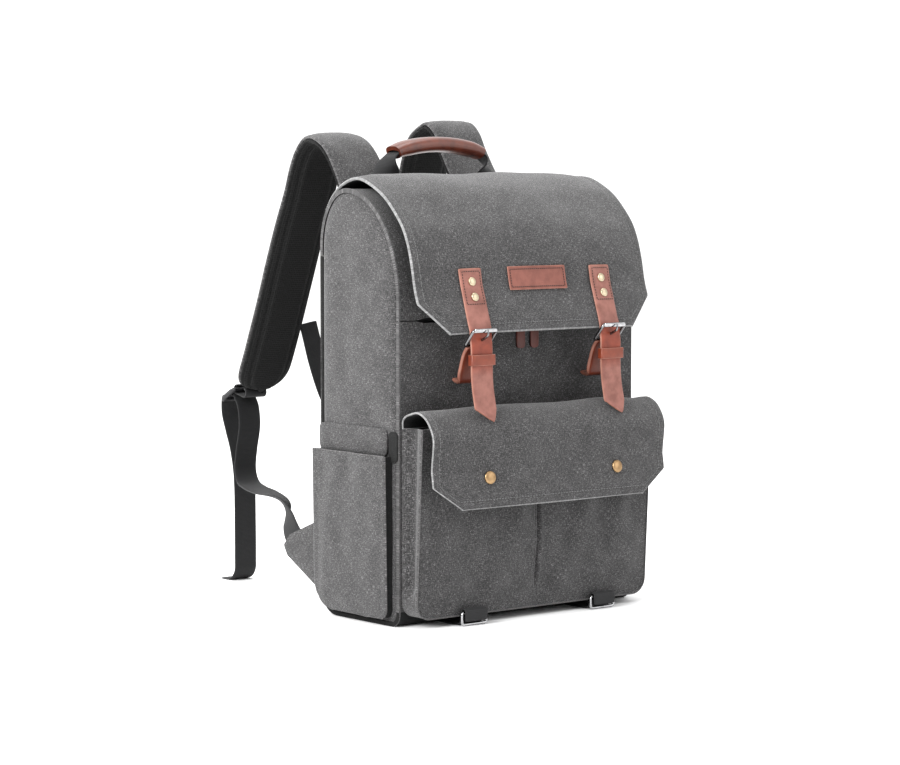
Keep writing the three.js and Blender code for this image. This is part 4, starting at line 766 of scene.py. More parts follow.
def flap_half(v):
    """Half the flap's width at arc length v, drawn in evenly below the cut corners."""
    return FLAP_EDGE_HALF + (FLAP_HALF - FLAP_EDGE_HALF) * np.clip(v / FLAP_CUT, 0, 1)


def flap_crown(x):
    """Rise across the flap: FLAP_CROWN (1 - (x / FLAP_HALF)^2)."""
    return FLAP_CROWN * np.maximum(0, 1 - (x / FLAP_HALF) ** 2)


def on_flap(x, z):
    """The smooth outer face of the flap at x and height z on its front: point and normal."""
    v = np.interp(z, FLAP_LINE[:60, 1], FLAP_V[:60])
    return on_flap_at(x, v)


def on_flap_at(x, v):
    """The same at x and arc length v: FLAP_LINE + crown * n."""
    p = np.stack([np.interp(v, FLAP_V, FLAP_LINE[:, k]) for k in (0, 1)], -1)
    n = left_normals(FLAP_LINE)
    n = unit(np.stack([np.interp(v, FLAP_V, n[:, k]) for k in (0, 1)], -1))
    p = p + n * flap_crown(np.asarray(x))[..., None]
    x = np.broadcast_to(x, p.shape[:-1])
    return np.stack([x, p[..., 0], p[..., 1]], -1), np.stack([0 * x, n[..., 0], n[..., 1]], -1)


def flap():
    """The flap with its seam and edge, and the bare label sewn to it."""
    def relief(v, x):
        edge = np.minimum(flap_half(v) - np.abs(x), v + 0.5)
        waves = 1.5 * ripple(x, v, 90, 11) * ease(edge / 25)
        return flap_crown(x) + waves - 0.5 * dent(edge - SEAM_INSET, 1.1)

    grid, x, v = band(FLAP_LINE, flap_half(FLAP_V), 110, rise=relief)
    obj = sheet("flap_cloth", grid, FLAP_THICK, [CANVAS, CANVAS_EDGE, BLACK_CANVAS])
    canvas_piece(obj, "main_flap")
    far = FLAP_V[-1] - 4
    side = [(flap_half(t) - SEAM_INSET, t) for t in np.linspace(far, SEAM_INSET, 40)]
    path = [(-a, t) for a, t in side] + side[::-1]
    threads = stitches("flap_thread", [trace(grid, x, v, path, 0.15)], GREY_THREAD, 3.4, 2.4, 0.35)

    u, w = np.meshgrid(np.linspace(-LABEL_HALF, LABEL_HALF, 60), np.linspace(LABEL_LOW, LABEL_HIGH, 24))
    face, n = on_flap(u, w)
    edge = np.minimum(LABEL_HALF - np.abs(u), np.minimum(w - LABEL_LOW, LABEL_HIGH - w))
    lift = GAP + 1.4 - 0.35 * dent(edge - LABEL_SEAM, 0.7) - 0.25 * dent(edge - 4.6, 0.5)
    obj = sheet("label_leather", face + n * lift[..., None], 1.2, [PLAIN_LEATHER, LEATHER_EDGE])
    canvas_piece(obj, "label")
    path = resample(box(LABEL_HALF - LABEL_SEAM, LABEL_LOW + LABEL_SEAM, LABEL_HIGH - LABEL_SEAM), 200)
    p, n = on_flap(path[:, 0], path[:, 1])
    threads = stitches("label_thread", [(p + n * (GAP + 1.35), n)], BROWN_THREAD, 2.4, 1.7, 0.4)


flap()


def dome(name, at, normal, radius, height, slot):
    """A low domed cap: rings of radius r cos a and height h sin a, closed underneath."""
    n = unit(np.asarray(normal, float))
    s = unit(np.cross(n, (0, 0.3, 1.0)))
    t = np.cross(n, s)
    a = np.linspace(0, math.pi / 2 * 0.96, 9)
    r = np.concatenate([[radius * 0.5, radius * 0.96], radius * np.cos(a) ** 0.8])
    h = np.concatenate([[0, 0], 0.25 * height + 0.75 * height * np.sin(a)])
    turn = np.linspace(0, 2 * math.pi, 24, endpoint=False)
    rings = (np.asarray(at) + h[:, None, None] * n + r[:, None, None]
             * (np.cos(turn)[None, :, None] * s + np.sin(turn)[None, :, None] * t))
    return sweep(name, rings, [slot])


def wire_ring(name, centre, across, up, width, height, wire, slot):
    """A rounded rectangle of round wire in the plane of across and up."""
    outline = rounded(width - wire, height - wire, 2.2, 5)
    dense = resample(np.vstack([outline, outline[:1]]), 97)[:-1]
    path = np.asarray(centre) + dense[:, :1] * np.asarray(across) + dense[:, 1:] * np.asarray(up)
    normal = np.cross(across, up)
    return sweep(name, cord_rings(path, wire / 2, 10, up=normal, closed=True), [slot], closed=True)


def bar_x(name, centre, radius, width, slot):
    """A round bar along x with slightly eased ends."""
    s = np.array([-1, -0.97, -0.9, 0.9, 0.97, 1]) * width / 2
    r = np.array([0.8, 0.97, 1, 1, 0.97, 0.8]) * radius
    path = np.asarray(centre, float) + s[:, None] * np.array([1.0, 0, 0])
    return sweep(name, cord_rings(path, r, 20), [slot])


STRAP_TOP = 329.0
STRAP_TAIL = 76.0
STRAP_POINT = 13.0
BUCKLE_DROP = 6.3
BUCKLE_TILT = math.radians(41)
BUCKLE_WIDTH, BUCKLE_LENGTH, BUCKLE_WIRE = 31.0, 22.0, 3.0
STRAP_SEAM, STRAP_BOX = 2.0, 33.0
STRAP_SKEW = 0.6
KEEPER_DROP, KEEPER_LENGTH = 20.0, 10.0
RIVETS = (("upper", 317.5), ("lower", 302.8))
RIVET_RADIUS, RIVET_RISE = 4.2, 2.0
ANCHOR_DROP = 36.0
STRAP_ROUTE = (
    # share of the tail below the buckle, mm in front of it
    (0.09, 1.0), (0.22, 1.3), (0.4, 1.5), (0.6, 2.8), (0.8, 6.0), (1.0, 10.0),
)
ANCHOR_ROUTE = (
    # share of the way from the panel to the rear bar, share of ANCHOR_DROP
    (0, 0.04), (0.1, 0), (0.4, 0), (0.6, 0.06), (0.69, 0.2), (0.78, 0.45), (0.9, 0.75),
)


def buckle_place(x0):
    """The (y, z) of a buckle's middle, below the flap's lip, and of its roller and rear bar."""
    lip, n = (a[1:] for a in on_flap_at(np.array(x0), np.array(0.0)))
    middle = lip + n * (GAP + LEATHER / 2) + (0, -BUCKLE_DROP)
    reach = np.array([-math.sin(BUCKLE_TILT), math.cos(BUCKLE_TILT)]) * (BUCKLE_LENGTH - BUCKLE_WIRE) / 2
    return middle, middle + reach, middle - reach


def strap_line(x0, middle):
    """A strap's line from its tip, through the buckle, to its end on the flap; and its free part."""
    top = float(np.interp(STRAP_TOP, FLAP_LINE[:60, 1], FLAP_V[:60]))
    p, n = on_flap_at(np.full(50, x0), np.linspace(0, top, 50))
    sewn = (p + n * (GAP + LEATHER))[:, 1:]
    face_y = middle[0] - LEATHER / 2
    tail = [(face_y - out, middle[1] - down * STRAP_TAIL) for down, out in STRAP_ROUTE][::-1]
    free = smooth(np.vstack([tail, (face_y, middle[1]), sewn[0]]), 60)
    return np.vstack([free[:-1], sewn]), free


def closure_strap(side, name, line, flap_from):
    """The strap: crown of the flap on its sewn part, less a seam groove and eased edges."""
    x0 = side * STRAP_X
    v = lengths(line)
    half = STRAP_HALF * np.clip(0.06 + v / STRAP_POINT, 0, 1)

    def relief(t, u):
        edge = np.minimum(STRAP_HALF - np.abs(u), t)
        arm = ease((t - v[flap_from]) / 10)
        return (arm * (flap_crown(x0 + u) - flap_crown(x0)) - 0.3 * dent(STRAP_HALF - np.abs(u) - 1.6, 0.6)
                - 0.35 * ease(1 - edge / 1.2) + 0.25 * ripple(u, t, 40, 21 + side))

    grid, u, t = band(line, half, 21, centre=x0, rise=relief)
    grid[..., 0] += (STRAP_SKEW * (STRAP_HALF - half))[:, None]
    obj = sheet(f"closure_strap_leather_{name}", grid, LEATHER, [STRAP_LEATHER, LEATHER_EDGE])
    canvas_piece(obj, f"closure_strap_{name}")
    path = box(STRAP_HALF - STRAP_SEAM, v[-1] - STRAP_BOX, v[-1] - STRAP_SEAM)
    threads = stitches(f"strap_thread_{name}", [trace(grid, u, t, path, 0.15)], BROWN_THREAD, 2.6, 1.8, 0.42)
    for part, height in RIVETS:
        p, n = on_flap(np.array(x0), np.array(height))
        at = p + n * (GAP + LEATHER + 0.1)
        obj = dome(f"rivet_cap_{part}_{name}", at, n, RIVET_RADIUS, RIVET_RISE, PALE_BRASS)
        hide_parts(f"rivet_{part}_{name}")


def strap_buckle(x0, name, middle, roller, rear):
    """A wire frame in the plane of both bars, a bright tube on its roller, and a prong."""
    up = (roller - rear) / (BUCKLE_LENGTH - BUCKLE_WIRE)
    ring = wire_ring(f"buckle_wire_{name}", (x0, *middle), (1, 0, 0), (0, *up), BUCKLE_WIDTH, BUCKLE_LENGTH,
                     BUCKLE_WIRE, STEEL)
    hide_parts(f"buckle_frame_{name}")
    tube = bar_x(f"buckle_roller_{name}", (x0, *roller), 2.1, BUCKLE_WIDTH - 5, BRIGHT_STEEL)
    prong = smooth([rear + (-2.6, 0.6), rear + (-4.4, 4), roller + (-3.4, -4.5), roller + (-3.6, 1.2)], 16)
    path = np.stack([np.full(16, x0), *prong.T], 1)
    rings = cord_rings(path, np.linspace(1.5, 0.9, 16), 10, up=(1, 0, 0))
    obj = sweep(f"buckle_tongue_{name}", rings, [STEEL])
    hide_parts(f"buckle_prong_{name}")


def strap_keeper(x0, name, height, free):
    """A leather loop round the strap: an outer and an inner rounded outline, joined into a ring."""
    y = float(np.interp(height, free[:, 1], free[:, 0])) + LEATHER / 2
    outer = rounded(2 * STRAP_HALF + 4.6, LEATHER + 5.2, 2, 4)
    inner = rounded(2 * STRAP_HALF + 0.6, LEATHER + 1.2, 0.4, 4)
    end = KEEPER_LENGTH / 2
    levels = ((outer, 0.96, -end), (outer, 1, 0.4 - end), (outer, 1, end - 0.4), (outer, 0.96, end),
              (inner, 1, end - 0.1), (inner, 1, 0.1 - end))
    rings = [np.stack([x0 + line[:, 0] * w, y + line[:, 1] * w, np.full(len(line), height + h)], 1)
             for line, w, h in levels]
    # The loop uses the shaded copy of the strap leather: painted shade.
    obj = sweep(f"strap_keeper_leather_{name}", np.array(rings), [SHADED_LEATHER, LEATHER_EDGE], closed=True,
                index=[1, 0, 1, 1, 0, 1])
    canvas_piece(obj, f"strap_keeper_{name}")


def anchor_strap(x0, name, rear):
    """The strap from the front panel up to the buckle's rear bar, narrower at its foot."""
    seat, low = FRONT - GAP, rear[1] - ANCHOR_DROP
    route = [(seat + out * (rear[0] - seat), low + rise * ANCHOR_DROP) for out, rise in ANCHOR_ROUTE]
    line = smooth([*route, rear + (-1.8, -2.4)], 60)
    spread = ease(lengths(line) / 30)
    grid, _, _ = band(line, 6 + (STRAP_HALF - 6.5) * spread, 9, centre=x0)
    grid[..., 0] += 5 * (1 - spread[:, None])
    # The anchor strap uses the shaded copy of the strap leather: painted shade.
    obj = sheet(f"anchor_strap_leather_{name}", grid, 3.6, [SHADED_LEATHER, LEATHER_EDGE])
    canvas_piece(obj, f"anchor_strap_{name}")


def closure(side, name):
    """One side's strap with its buckle, its keeper and its anchor strap."""
    x0 = side * STRAP_X
    middle, roller, rear = buckle_place(x0)
    line, free = strap_line(x0, middle)
    closure_strap(side, name, line, len(free) - 1)
    strap_buckle(x0, name, middle, roller, rear)
    strap_keeper(x0, name, middle[1] - KEEPER_DROP, free)
    anchor_strap(x0, name, rear)


for side, name in SIDES:
    closure(side, name)


def slab(name, outline, centre, levels, slot):
    """A slab that faces the front: at depth d the outline is scaled by w, for each (d, w) level."""
    x, y, z = centre
    rings = [np.stack([x + outline[:, 0] * w, np.full(len(outline), y - d), z + outline[:, 1] * w], 1)
             for d, w in levels]
    return sweep(name, np.array(rings), [slot])


def zip_front():
    """The zip's tape behind the slit, its sliders in brass and two leather pulls."""
    xs, z = np.linspace(-ZIP_HALF, ZIP_HALF, 60)[None, :], np.linspace(-1, 1, 9)[:, None] * ZIP_TAPE / 2
    grid = np.stack(np.broadcast_arrays(xs, FRONT + WALL + GAP, ZIP_HEIGHT + z), -1)
    obj = sheet("zip_cloth", grid, 1.5, [WEBBING], round_rim=0.0)
    canvas_piece(obj, "zip_tape")
    for side, name in SIDES:
        at = (PULLS_MIDDLE + side * PULL_SPREAD, FRONT - GAP, PULL_HEIGHT)
        levels = ((0, 0.93), (0.4, 1), (2.1, 1), (2.5, 0.93))
        outline = rounded(PULL_WIDTH, PULL_LENGTH, 3.5, 5)
        obj = slab(f"zip_pull_leather_{name}", outline, at, levels, DARK_LEATHER)
        canvas_piece(obj, f"zip_pull_{name}")
        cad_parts[f"zip_slider_{name}"].material_slots[0].material = BRASS


zip_front()


# Pockets

def pocket_rows(foot, top, corner, turn, straight):
    """Heights of a pocket face's rows, which stand closer where its lower corners turn."""
    low = foot + corner * (1 - np.cos(np.linspace(0, math.pi / 2, turn)))
    return np.concatenate([low, np.linspace(foot + corner, top, straight)[1:]])


def pocket_reach(z, half, foot, corner):
    """Half width of a pocket face at height z: half - r + sqrt(r^2 - low^2), low below the corner."""
    low = np.maximum(0, corner - (z - foot))
    return (half - corner + np.sqrt(np.maximum(corner ** 2 - low ** 2, 0.5)))[:, None]


def pocket_line(half, foot, top, corners, steps):
    """A pocket's outline down one side, round both lower corners and up the other, as (u, z)."""
    (one, other), (straight, turn, last) = corners, steps
    return np.vstack([
        resample([(-half, top), (-half, foot + one)], straight)[:-1],
        quarter(-half + one, foot + one, one, 180, 270, turn),
        quarter(half - other, foot + other, other, 270, 360, last),
        resample([(half, foot + other), (half, top)], straight)[1:]])


def pocket_depth(z):
    """Depth of the front pocket at height z, which grows evenly from its foot to its mouth."""
    share = (z - POCKET_FOOT) / (POCKET_TOP - POCKET_FOOT)
    return POCKET_DEPTH_FOOT + (POCKET_DEPTH_TOP - POCKET_DEPTH_FOOT) * share


def front_pocket():
    """A face with a pleat down its middle, piped at its edge, on a gusset that folds inwards."""
    s = np.sign(np.linspace(-1, 1, 121)) * np.abs(np.linspace(-1, 1, 121)) ** 1.25
    z = pocket_rows(POCKET_FOOT, POCKET_TOP, POCKET_CORNER, 14, 70)
    reach = pocket_reach(z, POCKET_HALF, POCKET_FOOT, POCKET_CORNER)
    u = reach * s
    w = np.broadcast_to(z[:, None], u.shape)
    edge = np.minimum(reach - np.abs(u), w - POCKET_FOOT)
    pleat = ease((w - 20) / 22)
    fold = pleat * (-2.6 * dent(u - 1.5, 1.3) + 1.0 * dent(u - 4.5, 2.2) - 0.8 * dent(u + 1.8, 0.8))
    swell = 2.2 * ease(edge / 45) * (1 - 0.55 * dent(u, 26))
    ruck = 1.6 * ripple(u, w, 62, 31) * ease(edge / 20)
    grid = np.stack([u, FRONT - pocket_depth(w) - swell - ruck - fold, w], -1)
    obj = sheet("pocket_cloth", grid, CLOTH, [CANVAS, PIPING, BLACK_CANVAS])
    canvas_piece(obj, "pocket_front")
    rope = np.vstack([grid[:0:-1, 0], grid[0], grid[1:, -1]]) - (0, 0.4, 0)
    rope = resample(rope, 260)
    obj = sweep("pocket_piping", cord_rings(rope, 0.7, 8, up=(0, 1, 0)), [PIPING])

    outline = pocket_line(POCKET_HALF, POCKET_FOOT, POCKET_TOP, (POCKET_CORNER,) * 2, (50, 12, 12))
    t = np.linspace(1, 0, 15)[None, :]
    x, z = outline[:, :1], outline[:, 1:]
    reach = pocket_depth(z) - CLOTH - 2 * GAP
    raised = np.clip((z - POCKET_FOOT - POCKET_CORNER) / POCKET_CORNER, 0, 1)
    inward = POCKET_FOLD * raised * np.sin(math.pi * t) ** 2 * 0.8
    grid = np.stack([x - np.sign(x) * inward, FRONT - GAP - t * reach, z + 0 * t], -1)
    obj = sheet("pocket_gusset_cloth", grid, CLOTH, [CANVAS, PIPING, BLACK_CANVAS], round_rim=0.0)
    canvas_piece(obj, "pocket_gusset")


POCKET_FLAP_ROUTE = (
    # share of POCKET_FLAP_STAND, share of the height from foot to crest
    (0, 0.88), (0.035, 0.92), (0.12, 0.955), (0.26, 0.98), (0.425, 1), (0.58, 0.983), (0.74, 0.93),
    (0.88, 0.83), (0.945, 0.73), (0.94, 0.63), (0.9, 0.42), (0.925, 0.31), (1, 0),
)


def pocket_flap():
    """The pocket's flap with its two snaps."""
    out, up = np.array(POCKET_FLAP_ROUTE, float).T
    seat = CLOTH + GAP
    route = np.stack([FRONT - seat - out * (POCKET_FLAP_STAND - seat),
                      POCKET_FLAP_FOOT + up * (POCKET_FLAP_CREST - POCKET_FLAP_FOOT)], 1)
    line = np.vstack([smooth(route, 90)[::-1], (FRONT - seat, POCKET_TOP + GAP)])
    v = lengths(line)
    cut = 0.16 * v[-1]
    half = POCKET_FLAP_EDGE_HALF + (POCKET_FLAP_HALF - POCKET_FLAP_EDGE_HALF) * np.clip(v / cut, 0, 1)

    def relief(t, x):
        h = np.interp(t[:, 0], v, half)[:, None]
        edge = np.minimum(h - np.abs(x), t + 0.5)
        crown = 3.0 * (1 - (x / POCKET_FLAP_HALF) ** 2) * np.minimum(1, 2.4 * (1 - t / v[-1]))
        waves = 0.9 * ripple(x, t, 80, 41) * ease(edge / 25)
        return crown + waves - 0.5 * dent(edge - SEAM_INSET, 1.1)

    grid, x, t = band(line, half, 110, rise=relief)
    obj = sheet("pocket_flap_cloth", grid, CLOTH, [CANVAS, CANVAS_EDGE, BLACK_CANVAS], round_rim=0.6)
    canvas_piece(obj, "pocket_flap")
    edge = [(np.interp(a, v, half) - SEAM_INSET, a) for a in np.linspace(v[-1] - 12, SEAM_INSET, 30)]
    path = [(-a, b) for a, b in edge] + edge[::-1]
    threads = stitches("pocket_flap_thread", [trace(grid, x, t, path, 0.15)], GREY_THREAD, 3.4, 2.4, 0.35)
    height = np.interp(SNAP_HEIGHT, line[:40, 1], v[:40])
    for side, name in SIDES:
        at, n = trace(grid, x, t, [(side * SNAP_X - 1, height), (side * SNAP_X + 1, height)], 0.2)
        obj = dome(f"snap_cap_{name}", at[4], n[4], SNAP_RADIUS, SNAP_RISE, BRASS)
        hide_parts(f"pocket_snap_{name}")


def side_pocket_depth(z):
    """Depth of a side pocket at height z: four fifths at its foot, all of it at its mouth."""
    return SIDE_POCKET_DEPTH * (0.8 + 0.2 * (z - SIDE_POCKET_FOOT) / (SIDE_POCKET_TOP - SIDE_POCKET_FOOT))


def side_pocket(side, name):
    """A cloth face with rounded lower corners, off the side panel, with a dark gusset round it."""
    half, (fore, aft) = SIDE_POCKET_WIDTH / 2, SIDE_POCKET_CORNERS
    middle, wall = BACK - half, WIDTH / 2
    z = pocket_rows(SIDE_POCKET_FOOT, SIDE_POCKET_TOP, aft, 18, 60)
    front, rear = (pocket_reach(z, half, SIDE_POCKET_FOOT, corner) for corner in (fore, aft))
    s = np.linspace(0, 1, 50)
    u = (rear + front) * (s if side < 0 else 1 - s) - front
    w = np.broadcast_to(z[:, None], u.shape)
    edge = np.minimum(np.minimum(rear - u, u + front), w - SIDE_POCKET_FOOT)
    swell = 0.9 * ease(edge / 25) + 0.7 * ripple(u, w, 55, 51 + side) * ease(edge / 18)
    hem = -0.4 * dent(SIDE_POCKET_TOP - w - 7, 1.0) - 0.4 * dent(half - np.abs(u) - 6, 1.0)
    x = side * (wall + side_pocket_depth(w) + np.minimum(swell + hem, 1.6))
    grid = np.stack([x, middle + u, w], -1)[:, ::-1]
    obj = sheet(f"side_pocket_cloth_{name}", grid, CLOTH, [CANVAS, PIPING, BLACK_CANVAS])
    canvas_piece(obj, f"side_pocket_{name}")

    outline = pocket_line(half, SIDE_POCKET_FOOT, SIDE_POCKET_TOP, SIDE_POCKET_CORNERS, (40, 10, 16))
    t = np.linspace(1, 0, 7)[None, :]
    z = outline[:, 1:]
    x = side * (wall + GAP + t * (side_pocket_depth(z) - CLOTH - 2 * GAP))
    grid = np.stack([x, middle + outline[:, :1] + 0 * t, z + 0 * t], -1)
    grid = grid if side > 0 else grid[:, ::-1]
    obj = sheet(f"side_pocket_gusset_cloth_{name}", grid, CLOTH, [BLACK_CANVAS], round_rim=0.0)
    canvas_piece(obj, f"side_pocket_gusset_{name}")

    outline = rounded(LINING_WIDTH, LINING_HEIGHT, 4, 5)
    obj = pan(f"side_pocket_lining_{name}", side, wall + GAP + 1.2, outline, lambda y, h, r: -0.5 * r ** 12,
              1.2, [BLACK_CANVAS], at=(FRONT + 7.5, SIDE_POCKET_TOP + 9))

    outline = rounded(BAND_LENGTH, BAND_HEIGHT, 6, 6)
    obj = pan(f"side_band_cloth_{name}", side, wall + GAP + 2.5, outline, lambda y, h, r: -1.2 * r ** 12,
              2.4, [CANVAS, PIPING], at=(BACK - BAND_LENGTH / 2, SIDE_POCKET_TOP + BAND_HEIGHT / 2))
    canvas_piece(obj, f"side_band_{name}")


front_pocket()
pocket_flap()
for side, name in SIDES:
    side_pocket(side, name)


# Carry handle

HANDLE_FOOT, HANDLE_TOP, HANDLE_HALF = 369.0, 446.0, 62.5
HANDLE_SEWN_HALF, HANDLE_ROLLED_HALF = 19.0, 8.5
HANDLE_ARM = (
    # share of HANDLE_HALF, share of the height from foot to top, share of HANDLE_LEAN
    (1.0, 0.0, 0.0), (1.0, 0.3, 0.3), (1.0, 0.6, 0.75), (0.985, 0.76, 0.95), (0.91, 0.865, 1.0),
    (0.75, 0.925, 1.0), (0.5, 0.967, 1.0), (0.25, 0.992, 1.0),
)
HANDLE_LEAN = 6.0
GRIP_FROM = 0.285
GRIP_HALF_WIDTH, GRIP_HALF_HEIGHT = 12.8, 7.6


def handle():
    """Webbing that rises from the back slope, turns on edge and runs through a leather grip."""
    angle = math.degrees(math.asin((HANDLE_FOOT - BACK_SPRING) / BACK_RISE))
    y0 = float(arch(angle)[0][0]) + WEB / 2 + 2 * GAP
    rows = [*HANDLE_ARM, (0.0, 1.0, 1.0), *[(-s, u, b) for s, u, b in HANDLE_ARM[::-1]]]
    path = smooth([(s * HANDLE_HALF, y0 + HANDLE_LEAN * b, HANDLE_FOOT + u * (HANDLE_TOP - HANDLE_FOOT))
                   for s, u, b in rows], 161)
    t = np.linspace(0, 1, 161)
    end = np.minimum(t, 1 - t)
    across = np.array([0, 1.0, 0])
    flat = unit(np.cross(across, unit(np.gradient(path, axis=0))))
    roll = np.radians(90) * ease((end - 0.17) / 0.1)[:, None]
    side = np.cos(roll) * flat + np.sin(roll) * across
    wide = HANDLE_SEWN_HALF - (HANDLE_SEWN_HALF - HANDLE_ROLLED_HALF) * ease((end - 0.12) / 0.14)
    grid = ribbon_grid(path, side, wide, 15)
    obj = sheet("handle_web", grid, WEB, [WEBBING])
    canvas_piece(obj, "handle_webbing")

    path = resample(path[(t > GRIP_FROM) & (t < 1 - GRIP_FROM)], 60)
    up = np.cross(unit(np.gradient(path, axis=0)), across)
    up = unit(up) * np.sign(up[:, 2:])
    a = np.linspace(0, 2 * math.pi, 28, endpoint=False)
    ca, sa = np.cos(a)[:, None], np.sin(a)[:, None]
    end = np.minimum(np.linspace(0, 1, 60), np.linspace(1, 0, 60))
    size = (0.86 + 0.14 * ease(end / 0.16))[:, None, None]
    round_ca, round_sa = np.sign(ca) * np.abs(ca) ** 0.75, np.sign(sa) * np.abs(sa) ** 0.8
    outer = path[:, None] + size * (
        GRIP_HALF_WIDTH * round_ca * across + GRIP_HALF_HEIGHT * round_sa * up[:, None])
    bore = path[:, None] + 9 * ca * across + 2.4 * sa * up[:, None]
    obj = sweep("handle_grip_leather", np.concatenate([outer, bore[::-1]]), [GRIP_LEATHER], closed=True)
    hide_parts("handle_grip")
    seam = path[2:-2] - up[2:-2] * 6.2 + across * 9.0
    threads = stitches("grip_thread", [(seam, -up[2:-2])], BROWN_THREAD, 3.0, 2.0, 0.4)


handle()


# Harness

SHOULDER_ROUTES = {
    # share of SHOULDER_REACH behind the back seam, share of SHOULDER_CREST
    "left": (
        (0.013, 0.8), (0.02, 0.838), (0.05, 0.882), (0.111, 0.93), (0.202, 0.976), (0.303, 0.9985),
        (0.384, 0.9955), (0.455, 0.968), (0.51, 0.928), (0.55, 0.882), (0.586, 0.846), (0.646, 0.79),
        (0.707, 0.726), (0.77, 0.66), (0.84, 0.587), (0.93, 0.5), (1.0, 0.446)),
    "right": (
        (0.013, 0.8), (0.03, 0.835), (0.1, 0.872), (0.2, 0.912), (0.285, 0.965), (0.345, 1.008),
        (0.425, 1.031), (0.51, 1.02), (0.585, 0.996), (0.64, 0.948), (0.672, 0.902), (0.7, 0.85),
        (0.735, 0.785), (0.785, 0.69), (0.85, 0.587), (0.93, 0.5), (1.0, 0.446)),
}
SHOULDER_LINES = {
    name: smooth([(BACK + b * SHOULDER_REACH, u * SHOULDER_CREST) for b, u in route], 160)
    for name, route in SHOULDER_ROUTES.items()
}
SHOULDER_ROUND = 26.0


def shoulder_half(v):
    """Half width along a strap, drawn in by a quarter ellipse over its last SHOULDER_ROUND mm."""
    left = np.clip((v.max() - v) / SHOULDER_ROUND, 0, 1)
    return WEB_HALF + (SHOULDER_HALF - WEB_HALF) * np.sqrt(1 - (1 - left) ** 2)


def shoulder(side, name):
    """A padded strap: a canvas cover over mesh padding, with a channel sewn inside its edge."""
    x0 = side * SHOULDER_X
    line = SHOULDER_LINES[name]
    half = shoulder_half(lengths(line))

    def cover(v, x):
        edge = shoulder_half(v) - np.abs(x)
        bend = -2.2 * (np.abs(x) / SHOULDER_HALF) ** 4
        return bend - 0.4 * dent(edge - 5, 1.0) + 0.5 * ripple(x, v, 60, 61 + side)

    grid, x, v = band(line, half, 31, centre=x0, rise=cover)
    obj = sheet(f"shoulder_cover_cloth_{name}", grid, 3.0, [CANVAS, PIPING])
    canvas_piece(obj, f"shoulder_cover_{name}")

    grid, x, v = band(line, half - GAP, 31, centre=x0, rise=lambda v, x: (
        -3.8 - 2.2 * (np.abs(x) / SHOULDER_HALF) ** 4))
    edge = np.minimum((half - GAP)[:, None] - np.abs(x), 40)
    channel = dent(edge - 7, 2.0)
    thick = 3.0 + 6.5 * np.sqrt(ease(edge / 14)) * (1 - 0.35 * channel)
    obj = sheet(f"shoulder_pad_mesh_{name}", grid, thick, [MESH, BLACK_CANVAS, MESH])
    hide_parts(f"shoulder_pad_{name}")


for side, name in SIDES:
    shoulder(side, name)


def ribbon(name, rows, width, node, count, facing=None):
    """Webbing through rows of (x, y, z, roll): roll turns its width from x round its length.

    With a facing direction the width is turned from facing x along instead.
    """
    dense = smooth(rows, count)
    path = dense[:, :3]
    along = unit(np.gradient(path, axis=0))
    flat = np.array([1.0, 0, 0]) - along * along[:, :1] if facing is None else np.cross(facing, along)
    flat = unit(flat)
    roll = np.radians(dense[:, 3:])
    side = np.cos(roll) * flat + np.sin(roll) * np.cross(along, flat)
    grid = ribbon_grid(path, side, width / 2, 9)
    grid = grid + grid_normals(grid) * WEB / 2
    obj = sheet(name, grid, WEB, [WEBBING])
    canvas_piece(obj, node)


ADJUSTER_X = 85.0
ADJUSTER_TILT = math.radians(-30)
ADJUSTER_LENGTH, ADJUSTER_THICK, ADJUSTER_BAR, ADJUSTER_WIDTH = 27.0, 5.0, 4.0, 36.0
WAY = np.array([math.cos(ADJUSTER_TILT), math.sin(ADJUSTER_TILT)])
OUT = np.array([-WAY[1], WAY[0]])
LOOP_RADIUS = math.hypot(ADJUSTER_THICK, ADJUSTER_BAR) / 2 + GAP + WEB
SHOULDER_FOOT = SHOULDER_LINES["left"][-1]
END_WAY = unit(SHOULDER_FOOT - SHOULDER_LINES["left"][-4])
END_UP = np.array([-END_WAY[1], END_WAY[0]])
LOOP_ROOT = SHOULDER_FOOT - END_UP * 6.5 + END_WAY * (LOOP_RADIUS + GAP)
TOP_BAR = LOOP_ROOT + (12.0, 3.0)
BAR_PITCH = (ADJUSTER_LENGTH - ADJUSTER_BAR) / 2
MIDDLE_BAR = TOP_BAR + WAY * BAR_PITCH

WEB_RUN = (
    # share of the way out to the wing, share of the middle bar's reach and height, roll
    (1, 0.24, 0.29, 90), (1, 0.3, 0.36, 90), (0.98, 0.335, 0.432, 75), (0.93, 0.38, 0.488, 45),
    (0.83, 0.46, 0.514, 15), (0.55, 0.64, 0.52, 0), (0.3, 0.8, 0.525, 0), (0.15, 0.9, 0.545, 0),
    (0.08, 0.945, 0.61, 0), (0.04, 0.945, 0.71, 0), (0.01, 0.93, 0.83, 0),
)
WEB_TAIL = (
    (-0.06, 1.09, 0.89, 0), (-0.09, 1.07, 0.8, 0), (-0.12, 1.04, 0.69, 0), (-0.14, 1.02, 0.54, 0),
    (-0.14, 1.015, 0.3, 0), (-0.14, 1.015, 0.12, 0),
)
TAIL_END = 24.0
TAIL_ROUTE = (   # shares of TAIL_END, back along the floor and up
    (0.02, 0.45), (0.25, 0.12), (0.6, 0), (1, 0),
)
WING_X, WING_SEAM = 135.0, 1.5
WING_FOOT, WING_LENGTH, WING_HEIGHT = 12.0, 72.0, 80.0
WING_SHAPE = (   # shares of its length and height
    (0, 0), (0.92, 0.44), (1, 0.56), (0.86, 0.7), (0, 1),
)


